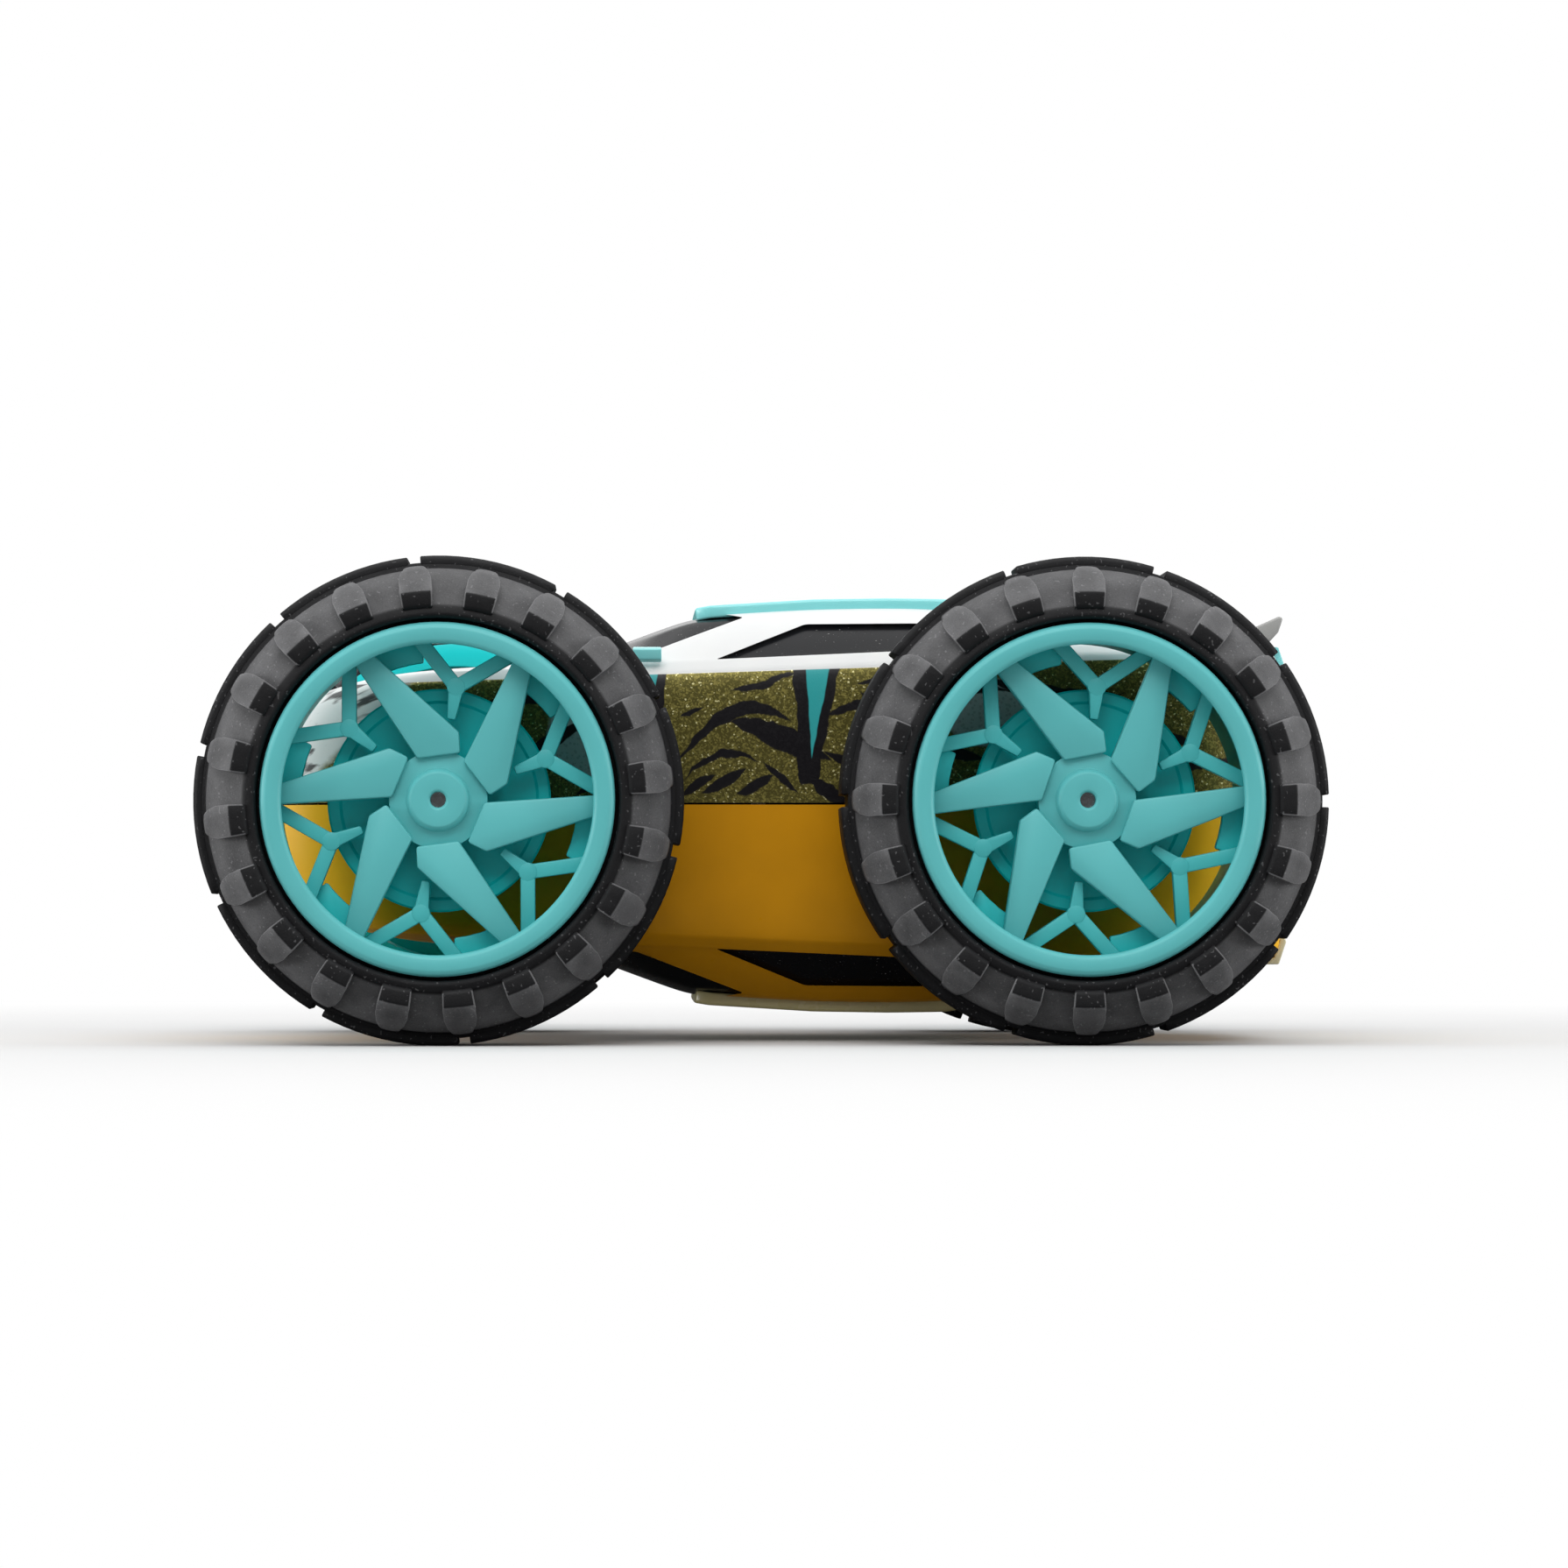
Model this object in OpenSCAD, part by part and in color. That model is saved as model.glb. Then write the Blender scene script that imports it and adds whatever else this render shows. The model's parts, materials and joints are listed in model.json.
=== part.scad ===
// Two-sided stunt car: four large wheels stand proud of a body that carries one car
// on each face, so it drives either way up. The nose points to -X, +Z is up, and the
// origin is on the ground midway between the four wheels. Every size is in millimetres.

/* [Wheels] */
// Diameter over the tread band
wheel_d = 50; // [49:0.5:52]
// Width over the outer faces of the wheels
overall_w = 96; // [95:0.5:100]
// Width of one tyre
tyre_w = 20; // [19:0.5:21]
// Number of shoulder lugs round each side of a tyre
lug_count = 20; // [16:1:24]
// Number of blocks round the centre tread band
block_count = 10; // [6:1:14]
// Outer radius of the rim's front ring
rim_ring_r = 18.1; // [17.8:0.1:18.2]
// Number of blades in a rim
blade_count = 6; // [5:1:7]
// Radius of the steel axles
axle_r = 1; // [0.8:0.1:1.2]

/* [Gear train] */
// Module of all the gears; the wheelbase follows from it
gear_module = 0.6; // [0.59:0.01:0.61]
// Running clearance between a pin or axle and its bore, on the radius
running_gap = 0.05; // [0.02:0.01:0.08]

/* [Body] */
// Width of the body at the sills
body_w = 52; // [51:0.5:53]
// Thickness of the moulded shells
wall = 1.4; // [1.2:0.1:1.6]
// Height of each roof above the axle plane
roof_h = 21.8; // [21.5:0.1:22.5]
// How far the roof panels stand proud of their shells
panel_proud = 0.3; // [0.1:0.1:0.5]

/* [Electrics] */
// Length, width and height of the battery
battery_size = [36, 24, 8]; // [20:0.5:36]
// Travel of the power switch
switch_travel = 2.5; // [2:0.1:2.5]

/* [Hidden] */
$fn = 64;

// Gear teeth, and the centres of the train in the plane of the wheels, from the car's centre
wheel_z = 24;
idler_z = 26;
centre_z = 34;
small_z = 10;
large_z = 24;
pinion_z = 8;
axle_x = gear_module * (wheel_z + 2 * idler_z + centre_z) / 2;
idler_x = gear_module * (idler_z + centre_z) / 2;
compound_angle = 42;
compound_at = gear_module * (centre_z + small_z) / 2 * [cos(compound_angle), sin(compound_angle)];
pinion_at = compound_at - [gear_module * (large_z + pinion_z) / 2, 0];
pin_r = 0.75;
pressure_angle = 20;
addendum = 0.75;
dedendum = 1.05;
backlash = 0.16;
ghost = 90;

// The stack of each gearbox, outwards from the middle of the car
motor_y = [2, 15];
plate_y = [15, 16.5];
inner_gear_y = [16.9, 18.7];
outer_gear_y = [19, 20.9];
cover_y = [21.3, 22.5];
bush_y = [21.3, 26.9];
motor_r = 6;
bush_r = 2.2;

// The wheel, outwards from its inner face
axle_z = wheel_d / 2;
wheel_y = overall_w / 2;
rim_back = wheel_y - tyre_w + 1.5;
barrel_r = 17;
barrel_in = 15.5;
hub_r = 4.3;
boss_r = 3.1;
disc_r = 11.4;
ring_depth = 2.6;
blade_face = wheel_y - 2.8;
lattice_face = wheel_y - 4.4;
disc_face = wheel_y - 7;
centre_hole_r = 0.7;
front_blade_phase = 58.5;
rear_blade_phase = 62;
front_block_phase = 24;
rear_block_phase = 0;

// Outline of half the body seen from the side: x, and the height above the axle plane
side_half = [[-53.5, 4], [-52, 8.5], [-46, 12.4], [-36, 14.6], [-21, 15.6],
    [-7, 20.9], [6, 21.7], [20, roof_h], [27, 20.4], [37, 17.6], [48, 17], [55.2, 16.9],
    [56, 14.5], [54.4, 8.5]];
// Outline of half the body seen from the front: half width, and height above the axle plane
front_half = [[body_w / 2, 6], [body_w / 2 - 0.4, 12],
    [body_w / 2 - 0.9, 14.8], [body_w / 2 - 1.6, 15.6], [18.5, 20.9], [13, roof_h]];
// Outline of half the body seen from above: x, and half width
plan_half = [[-53.5, 14], [-52.4, 18.5], [-49, 22.2], [-42, 25], [-34, body_w / 2],
    [38, body_w / 2], [47, 24.8], [53, 22.4], [56, 18]];
// Windows seen from the side: x, and height above the axle plane
side_window = [[-4.5, 15.2], [24, 16.5], [29.5, 17.2], [21.5, 18.9], [17, 19.2], [5, 19.1]];
windscreen = [[-21.4, 15.5], [-12.8, 15.5], [-1.4, 19.9], [-7, 20.9], [-7, 24], [-21.4, 24]];
// Half of the rear window seen from above: x, and half width
rear_window = [[26.6, 13.2], [27.4, 14], [37.4, 16.4], [38.6, 15.4]];
belt_h = 15.2;
glass_recess = 0.4;
glass_t = 0.9;
roof_x = [-6.6, 24.8];
roof_half_w = 17.6;
deck_h = [-5.8, -4.4];
screw_at = [44, 12];
screw_r = 1;
lead_r = 0.4;
lead_fn = 8;
battery_x = 3;

// ---- functions and shapes that several sub-parts share ----

// A closed outline from half of it, mirrored in its second coordinate
function mirrored(half) = concat(half, [for (k = [len(half) - 1:-1:0]) [half[k][0], -half[k][1]]]);

// A closed outline from a quarter of it, mirrored in both coordinates
function mirrored_twice(quarter) = concat(quarter,
    [for (k = [len(quarter) - 1:-1:0]) [-quarter[k][0], quarter[k][1]]],
    [for (p = quarter) [-p[0], -p[1]]],
    [for (k = [len(quarter) - 1:-1:0]) [quarter[k][0], -quarter[k][1]]]);

// The outline without points that repeat the one before
function tidy(p) = [for (k = [0:len(p) - 1]) if (norm(p[k] - p[(k + 1) % len(p)]) > 0.001) p[k]];

// Twice the signed area of an outline
function area2(p) = let(n = len(p)) [for (k = [0:n - 1]) p[k][0] * p[(k + 1) % n][1]
    - p[(k + 1) % n][0] * p[k][1]] * [for (k = [0:n - 1]) 1];

// The outline moved inwards by d, each corner along its mitre
function inset(p, d) = let(n = len(p), turn = area2(p) > 0 ? 1 : -1)
    [for (k = [0:n - 1]) let(a = p[(k + n - 1) % n], b = p[k], c = p[(k + 1) % n],
        u = (b - a) / norm(b - a), v = (c - b) / norm(c - b),
        m = turn * [-u[1], u[0]], w = turn * [-v[1], v[0]])
        b + d * (m + w) / (1 + m * w)];

// Involute of an angle, in degrees
function involute(a) = tan(a) * 180 / PI - a;

// Half the thickness of a tooth at radius r, as an angle
function tooth_half(z, r) = let(base = gear_module * z / 2 * cos(pressure_angle))
    90 / z * (1 - backlash) + involute(pressure_angle) - involute(acos(min(1, base / r)));

// Outline of a gear with a tooth centred on the first axis
function gear_outline(z) = let(pitch = gear_module * z / 2,
    radii = [pitch - dedendum * gear_module, pitch, pitch + addendum * gear_module])
    [for (k = [0:z - 1]) for (s = [-1, 1]) for (j = [0:2])
        let(r = radii[s < 0 ? j : 2 - j], a = 360 / z * k + s * tooth_half(z, max(r,
            pitch * cos(pressure_angle)))) r * [cos(a), sin(a)]];

// Turn of a gear that meshes with another, which lies at angle phi + 180 from it
function mesh(phi, z_a, turn_a, z_b) = phi + 180 - (180 - (phi - turn_a) * z_a) / z_b;

wheel_turn = 0;
idler_rear_turn = mesh(180, wheel_z, wheel_turn, idler_z);
centre_turn = mesh(180, idler_z, idler_rear_turn, centre_z);
idler_front_turn = mesh(180, centre_z, centre_turn, idler_z);
wheel_front_turn = mesh(180, idler_z, idler_front_turn, wheel_z);
small_turn = mesh(compound_angle, centre_z, centre_turn, small_z);
pinion_turn = mesh(180, large_z, 0, pinion_z);

// A flat outline in x and height above the axle plane, as thick as the span of y
module slab(y) {
    translate([0, y[1], axle_z]) rotate([90, 0, 0]) linear_extrude(y[1] - y[0]) children();
}

// A disc or, with a bore, a ring about an axis along Y
module disc(at, y, r, bore = 0) {
    slab(y) translate(at) difference() {
        circle(r);
        if (bore > 0) circle(bore);
    }
}

// A cutter for a bore along Y
module bore(at, y, r) {
    translate([at[0], y[0] - 0.5, axle_z + at[1]]) rotate([-90, 0, 0])
        cylinder(r = r, h = y[1] - y[0] + 1);
}

// The right-hand piece as drawn, or its mirror image on the left
module on_side(side) {
    if (side == "right") children();
    else mirror([0, 1, 0]) children();
}

// The upper piece as drawn, or its mirror image about the axle plane
module on_face(face) {
    if (face == "upper") children();
    else translate([0, 0, 2 * axle_z]) mirror([0, 0, 1]) children();
}

// ---- body ----

// The whole body as a solid block, moved inwards by d all over
module body_block(d) {
    intersection() {
        slab([-ghost / 2, ghost / 2]) polygon(inset(tidy(mirrored(side_half)), d));
        translate([-ghost, 0, axle_z]) rotate([90, 0, 90])
            linear_extrude(2 * ghost) polygon(inset(tidy(mirrored_twice(front_half)), d));
        linear_extrude(ghost) polygon(inset(tidy(mirrored(plan_half)), d));
    }
}

// The half of space above the axle plane
module above(h = 0) {
    translate([-ghost, -ghost, axle_z + h]) cube([2 * ghost, 2 * ghost, ghost]);
}

// The three window openings of a face, as a cutter
module window_cut() {
    slab([-ghost / 2, ghost / 2]) {
        polygon(side_window);
        polygon(windscreen);
    }
    translate([0, 0, axle_z + belt_h - 1]) linear_extrude(ghost) polygon(mirrored(rear_window));
}

// The part of a face that its roof panel covers, as a cutter
module roof_zone() {
    translate([roof_x[0], -roof_half_w, axle_z + 19.4])
        cube([roof_x[1] - roof_x[0], 2 * roof_half_w, 6]);
}

// The end of a face that its tail panel covers, as a cutter
module tail_zone() {
    translate([53.4, -17, axle_z + 11]) cube([4, 34, 7]);
}

// The two lamp openings in a nose, as a cutter
module lamp_zone() {
    for (s = [-1, 1]) translate([-56, s * 16 - 3.6, axle_z + 5.6]) cube([9, 7.2, 3.8]);
}

// Cutter for the bumpers, which both shells clamp
module bumper_zone() {
    translate([-58, -13, axle_z - 3.4]) cube([9, 26, 6.8]);
    translate([50.6, -14, axle_z - 3.8]) cube([9, 28, 7.6]);
}

// One moulded face of the body, upper or lower
module shell(face) {
    on_face(face) difference() {
        union() {
            difference() {
                intersection() {
                    body_block(0);
                    above();
                }
                body_block(wall);
                window_cut();
                difference() {
                    roof_zone();
                    body_block(0.7);
                }
                difference() {
                    tail_zone();
                    body_block(0.7);
                }
                lamp_zone();
            }
            intersection() {
                body_block(0.7);
                for (x = [-1, 1]) for (y = [-1, 1])
                    translate([x * screw_at[0], y * screw_at[1], axle_z + 0.1])
                        cylinder(r = 2.6, h = 20);
            }
        }
        bumper_zone();
        for (x = [-1, 1]) bore([x * axle_x, 0], [-27, 27], bush_r);
        for (x = [-1, 1]) for (y = [-1, 1])
            translate([x * screw_at[0], y * screw_at[1], axle_z - 1])
                cylinder(r = screw_r, h = face == "upper" ? 9 : 40);
        if (face == "lower") for (x = [-1, 1]) for (y = [-1, 1])
            translate([x * screw_at[0], y * screw_at[1], axle_z + 11])
                cylinder(r = 1.95, h = 9);
    }
}

module upper_shell() {
    color([0.86, 0.87, 0.86]) shell("upper");
}

module lower_shell() {
    color([0.85, 0.62, 0.16]) shell("lower");
}

// The panel let into a roof, standing slightly proud, with a flat on its crown
module roof_panel(face) {
    on_face(face) intersection() {
        difference() {
            body_block(-panel_proud);
            body_block(0.7);
        }
        roof_zone();
        translate([-ghost, -ghost, axle_z]) cube([2 * ghost, 2 * ghost, roof_h]);
    }
}

module upper_roof_panel() {
    color([0.35, 0.75, 0.76]) roof_panel("upper");
}

module lower_roof_panel() {
    color([0.66, 0.58, 0.2]) roof_panel("lower");
}

// The dark insert behind a face, with its panes standing in the window openings
module glazing(face) {
    on_face(face) {
        intersection() {
            difference() {
                body_block(wall);
                body_block(wall + glass_t);
            }
            above(belt_h - 0.6);
            translate([-20, -ghost / 2, 0]) cube([60.4, ghost, ghost]);
        }
        intersection() {
            difference() {
                body_block(glass_recess);
                body_block(wall + 0.1);
            }
            difference() {
                window_cut();
                roof_zone();
            }
        }
    }
}

module upper_glazing() {
    color([0.16, 0.17, 0.18]) glazing("upper");
}

module lower_glazing() {
    color([0.1, 0.1, 0.11]) glazing("lower");
}

// The clear moulding that holds both lamp lenses of a face
module headlamps(face) {
    on_face(face) {
        intersection() {
            body_block(0.2);
            lamp_zone();
            translate([-ghost - 48.4, -ghost / 2, axle_z]) cube([ghost, ghost, ghost]);
        }
        translate([-49.4, -18, axle_z + 6.4]) cube([1, 36, 2]);
    }
}

module upper_headlamps() {
    color([0.88, 0.93, 0.95]) headlamps("upper");
}

module lower_headlamps() {
    color([0.95, 0.9, 0.75]) headlamps("lower");
}

// The coloured cap across the tail of a face
module tail_panel(face) {
    on_face(face) intersection() {
        difference() {
            body_block(0);
            body_block(0.7);
        }
        tail_zone();
    }
}

module upper_tail_panel() {
    color([0.35, 0.75, 0.76]) tail_panel("upper");
}

module lower_tail_panel() {
    color([0.8, 0.76, 0.6]) tail_panel("lower");
}

// Ducktail blade across the rear deck
module rear_spoiler() {
    color([0.62, 0.62, 0.6]) slab([-19, 19]) polygon([[45, 17.2], [49, 18.1], [52.6, 18.8],
        [55.5, 20.1], [55.9, 19.9], [55.4, 18.4], [54.3, 17.2], [53.6, 16.95], [48, 17.03]]);
}

// Door mirror on the belt beside the windscreen pillar
module door_mirror() {
    translate([0, body_w / 2 - 1.3, axle_z]) rotate([90, 0, 90]) translate([0, 0, -13.2])
        linear_extrude(3) polygon([[0.48, 14.8], [1.1, 15.1], [1.2, 16.2], [0.2, 16.5], [-0.26, 15.62]]);
}

module mirror_left() {
    color([0.3, 0.72, 0.73]) on_side("left") door_mirror();
}

module mirror_right() {
    color([0.3, 0.72, 0.73]) on_side("right") door_mirror();
}

// Black bar held between the shells at the nose
module front_bumper() {
    color([0.13, 0.13, 0.14]) intersection() {
        body_block(-0.2);
        translate([-58, -12.9, axle_z - 3.3]) cube([7.6, 25.8, 6.6]);
    }
}

// Black bar held between the shells at the tail, with the switch slot and charging window
module rear_bumper() {
    color([0.13, 0.13, 0.14]) difference() {
        intersection() {
            body_block(-0.2);
            translate([51, -13.9, axle_z - 3.7]) cube([7, 27.8, 7.4]);
        }
        translate([50, -8 - switch_travel / 2 - 1.2, axle_z - 1.3])
            cube([6, switch_travel + 2.4, 2.6]);
        translate([50, 3.1, axle_z - 1.6]) cube([6, 7.8, 3.2]);
    }
}

// ---- frame and gearboxes ----

// Moulded frame: deck, battery tray, motor saddles, board posts and end posts for the screws
module chassis_frame() {
    color([0.2, 0.2, 0.22]) difference() {
        union() {
            translate([-47, -14.9, axle_z + deck_h[0]]) cube([94, 29.8, deck_h[1] - deck_h[0]]);
            for (s = [-1, 1]) translate([battery_x - battery_size[0] / 2 - 1,
                s * (battery_size[1] / 2 + 0.7) - 0.5, axle_z - 13.4])
                cube([battery_size[0] + 2, 1, 8.4]);
            for (s = [-1, 1]) translate([battery_x + s * (battery_size[0] / 2 + 0.8) - 0.5,
                -battery_size[1] / 2 - 1, axle_z - 13.4]) cube([1, battery_size[1] + 2, 8.4]);
            for (s = [-1, 1]) translate([pinion_at[0] - 5, s * 8.5 - 4, axle_z - 5])
                cube([10, 8, 9]);
            for (x = [-38, -13]) for (y = [-10, 10])
                translate([x, y, axle_z - 5]) cylinder(r = 1.2, h = 5);
            translate([47, -11, axle_z + deck_h[0]]) cube([3, 22, deck_h[1] - deck_h[0]]);
        }
        for (x = [-1, 1]) for (y = [-1, 1])
            translate([x * screw_at[0], y * screw_at[1], axle_z - 8])
                cylinder(r = 2.7, h = 6);
        bore(pinion_at, [-15, 15], motor_r + 0.05);
    }
}

// Plate that carries the inner ends of the pins and axles, and the motor's nose
module gearbox_plate(side) {
    on_side(side) difference() {
        slab(plate_y) polygon([[-42, -9.2], [-11, -9.2], [-7, -11.6], [7, -11.6], [11, -9.2],
            [42, -9.2], [42, 9.2], [19.2, 9.2], [17, 13], [13, 15], [-6, 15], [-9, 9.2],
            [-42, 9.2]]);
        for (x = [-1, 1]) bore([x * axle_x, 0], plate_y, axle_r + running_gap);
        for (x = [-idler_x, 0, idler_x]) bore([x, 0], plate_y, pin_r);
        bore(compound_at, plate_y, pin_r);
        bore(pinion_at, plate_y, 1.5);
    }
}

module gearbox_plate_left() {
    color([0.24, 0.24, 0.27]) gearbox_plate("left");
}

module gearbox_plate_right() {
    color([0.24, 0.24, 0.27]) gearbox_plate("right");
}

// Outer plate with four posts that stand on the inner plate
module gearbox_cover(side) {
    post_at = [25.8, 7.9];
    on_side(side) difference() {
        union() {
            slab(cover_y) {
                translate([-42, -9.2]) square([84, 18.4]);
                translate(compound_at) circle(3.2);
            }
            for (x = [-1, 1]) for (h = [-1, 1])
                disc([x * post_at[0], h * post_at[1]], [plate_y[1], cover_y[0] + 0.1], 1.2);
        }
        for (x = [-1, 1]) bore([x * axle_x, 0], cover_y, bush_r);
        for (x = [-idler_x, 0, idler_x]) bore([x, 0], cover_y, pin_r);
        bore(compound_at, cover_y, pin_r);
    }
}

module gearbox_cover_left() {
    color([0.3, 0.3, 0.33]) gearbox_cover("left");
}

module gearbox_cover_right() {
    color([0.3, 0.3, 0.33]) gearbox_cover("right");
}

// Can motor with its nose in the plate and a bore for the shaft
module motor(side) {
    on_side(side) difference() {
        union() {
            disc(pinion_at, motor_y, motor_r);
            disc(pinion_at, [motor_y[1] - 0.1, plate_y[1]], 1.5);
            disc(pinion_at, [motor_y[0] - 0.6, motor_y[0] + 0.1], 1.6);
            for (h = [-1, 1]) slab([motor_y[0] - 1.2, motor_y[0] + 0.1])
                translate(pinion_at + [3.4 * h - 0.8, -0.2]) square([1.6, 0.4]);
        }
        bore(pinion_at, [4, 18], 0.5 + running_gap);
    }
}

module motor_left() {
    color([0.75, 0.76, 0.78]) motor("left");
}

module motor_right() {
    color([0.75, 0.76, 0.78]) motor("right");
}

// A flat gear with a plain bore
module gear(z, turn, at, y, bore_r) {
    difference() {
        slab(y) translate(at) rotate(turn) polygon(gear_outline(z));
        bore(at, y, bore_r);
    }
}

// Motor shaft and the pinion pressed on it
module pinion(side) {
    on_side(side) {
        slab(inner_gear_y) translate(pinion_at) rotate(pinion_turn) polygon(gear_outline(pinion_z));
        disc(pinion_at, [5, inner_gear_y[1]], 0.5);
    }
}

module pinion_left() {
    color([0.8, 0.68, 0.3]) pinion("left");
}

module pinion_right() {
    color([0.8, 0.68, 0.3]) pinion("right");
}

// Large gear driven by the pinion and small gear that drives the centre gear, in one moulding
module compound_gear(side) {
    on_side(side) difference() {
        union() {
            slab(inner_gear_y) translate(compound_at) polygon(gear_outline(large_z));
            slab([inner_gear_y[1], outer_gear_y[1]]) translate(compound_at) rotate(small_turn)
                polygon(gear_outline(small_z));
        }
        bore(compound_at, [inner_gear_y[0], outer_gear_y[1]], pin_r + running_gap);
    }
}

module compound_gear_left() {
    color([0.92, 0.92, 0.9]) compound_gear("left");
}

module compound_gear_right() {
    color([0.92, 0.92, 0.9]) compound_gear("right");
}

module centre_gear(side) {
    on_side(side) gear(centre_z, centre_turn, [0, 0], outer_gear_y, pin_r + running_gap);
}

module centre_gear_left() {
    color([0.9, 0.9, 0.88]) centre_gear("left");
}

module centre_gear_right() {
    color([0.9, 0.9, 0.88]) centre_gear("right");
}

// Gear between the centre gear and a wheel gear
module idler_gear(end, side) {
    on_side(side) gear(idler_z, end == "front" ? idler_front_turn : idler_rear_turn,
        [end == "front" ? -idler_x : idler_x, 0], outer_gear_y, pin_r + running_gap);
}

module idler_gear_front_left() {
    color([0.86, 0.87, 0.88]) idler_gear("front", "left");
}

module idler_gear_front_right() {
    color([0.86, 0.87, 0.88]) idler_gear("front", "right");
}

module idler_gear_rear_left() {
    color([0.86, 0.87, 0.88]) idler_gear("rear", "left");
}

module idler_gear_rear_right() {
    color([0.86, 0.87, 0.88]) idler_gear("rear", "right");
}

// Gear pressed on a wheel's axle
module wheel_gear(end, side) {
    on_side(side) gear(wheel_z, end == "front" ? wheel_front_turn : wheel_turn,
        [end == "front" ? -axle_x : axle_x, 0], outer_gear_y, axle_r);
}

module wheel_gear_front_left() {
    color([0.93, 0.93, 0.91]) wheel_gear("front", "left");
}

module wheel_gear_front_right() {
    color([0.93, 0.93, 0.91]) wheel_gear("front", "right");
}

module wheel_gear_rear_left() {
    color([0.93, 0.93, 0.91]) wheel_gear("rear", "left");
}

module wheel_gear_rear_right() {
    color([0.93, 0.93, 0.91]) wheel_gear("rear", "right");
}

// ---- wheels ----

// Steel stub axle, from the gearbox plate to the rim's hub
module axle(end, side) {
    on_side(side) disc([end == "front" ? -axle_x : axle_x, 0],
        [plate_y[0] + 0.2, wheel_y - 3.5], axle_r);
}

module axle_front_left() {
    color([0.7, 0.7, 0.72]) axle("front", "left");
}

module axle_front_right() {
    color([0.7, 0.7, 0.72]) axle("front", "right");
}

module axle_rear_left() {
    color([0.7, 0.7, 0.72]) axle("rear", "left");
}

module axle_rear_right() {
    color([0.7, 0.7, 0.72]) axle("rear", "right");
}

// Flanged bush that carries an axle in the gearbox cover and the side of the body
module bush(end, side) {
    at = [end == "front" ? -axle_x : axle_x, 0];
    on_side(side) difference() {
        union() {
            disc(at, bush_y, bush_r);
            disc(at, [cover_y[1], cover_y[1] + 1], bush_r + 1);
        }
        bore(at, bush_y, axle_r + running_gap);
    }
}

module bush_front_left() {
    color([0.75, 0.55, 0.28]) bush("front", "left");
}

module bush_front_right() {
    color([0.75, 0.55, 0.28]) bush("front", "right");
}

module bush_rear_left() {
    color([0.75, 0.55, 0.28]) bush("rear", "left");
}

module bush_rear_right() {
    color([0.75, 0.55, 0.28]) bush("rear", "right");
}

// A point of the rim's pattern from its radius and angle
function polar(r, a) = r * [cos(a), sin(a)];

// A wheel's own piece, drawn about its axle with its outer face at +wheel_y. The left-hand
// wheels are the right-hand ones turned half round, as one mould makes all four.
module at_wheel(end, side) {
    translate([end == "front" ? -axle_x : axle_x, 0, 0]) rotate(side == "right" ? 0 : 180)
        children();
}

// Swept blade, seen from outside the wheel
module blade_outline() {
    polygon([polar(4.2, 180), polar(4.7, -1), polar(15.8, 3.1), polar(15.8, -3.2),
        polar(7.06, -46), polar(5, -54)]);
}

// A straight bar between two points of the pattern
module bar(p, q, w) {
    u = (q - p) / norm(q - p);
    n = w / 2 * [-u[1], u[0]];
    polygon([p + n, p - n, q - n, q + n]);
}

// Forked strut behind each blade
module strut_outline() {
    knot = polar(11.65, 22.7);
    bar(polar(8.8, 22.7), knot, 1.7);
    bar(knot, polar(16, 5.5), 1.5);
    bar(knot, polar(16, 38), 1.5);
    translate(knot) circle(0.95);
    intersection() {
        difference() {
            circle(16);
            circle(14.1);
        }
        polygon([[0, 0], polar(20, 37), polar(20, 49), polar(20, 61)]);
    }
}

// Rim: barrel, rounded front ring, blades, forked struts, back disc and hub
module rim(end, side) {
    phase = 180 - (end == "front" ? front_blade_phase : rear_blade_phase);
    at_wheel(end, side) difference() {
        union() {
            translate([0, 0, axle_z]) rotate([-90, 0, 0]) rotate_extrude() polygon([
                [barrel_in, rim_back], [barrel_r, rim_back], [barrel_r, wheel_y - ring_depth - 0.1],
                [rim_ring_r, wheel_y - ring_depth], [rim_ring_r, wheel_y - 0.9],
                [rim_ring_r - 0.35, wheel_y - 0.3], [rim_ring_r - 0.95, wheel_y],
                [barrel_in + 1.05, wheel_y], [barrel_in + 0.45, wheel_y - 0.25],
                [barrel_in + 0.1, wheel_y - 0.9]]);
            slab([blade_face - 2.2, blade_face]) for (k = [0:blade_count - 1])
                rotate(phase - 360 / blade_count * k) mirror([0, 1]) blade_outline();
            slab([lattice_face - 1.6, lattice_face]) for (k = [0:blade_count - 1])
                rotate(phase - 360 / blade_count * k) mirror([0, 1]) strut_outline();
            disc([0, 0], [disc_face - 1.2, disc_face], disc_r);
            disc([0, 0], [rim_back, blade_face - 0.6], hub_r);
            disc([0, 0], [blade_face - 1, blade_face + 0.5], boss_r);
        }
        bore([0, 0], [0, wheel_y - 4], axle_r);
        bore([0, 0], [0, wheel_y + 1], centre_hole_r);
    }
}

module rim_front_left() {
    color([0.37, 0.71, 0.73]) rim("front", "left");
}

module rim_front_right() {
    color([0.37, 0.71, 0.73]) rim("front", "right");
}

module rim_rear_left() {
    color([0.37, 0.71, 0.73]) rim("rear", "left");
}

module rim_rear_right() {
    color([0.37, 0.71, 0.73]) rim("rear", "right");
}

// Section of a tyre or of its lugs from half of it: radius, and distance from the middle
module tyre_section(half) {
    mid = wheel_y - tyre_w / 2;
    polygon([for (p = mirrored(half)) [p[0], mid + p[1]]]);
}

// Sectors of a ring, as a cutter along Y
module sectors(count, phase, sector) {
    slab([wheel_y - tyre_w - 1, wheel_y + 1]) for (k = [0:count - 1])
        rotate(phase + 360 / count * k) polygon([[0, 0], polar(30, -sector / 2), polar(30, sector / 2)]);
}

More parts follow.
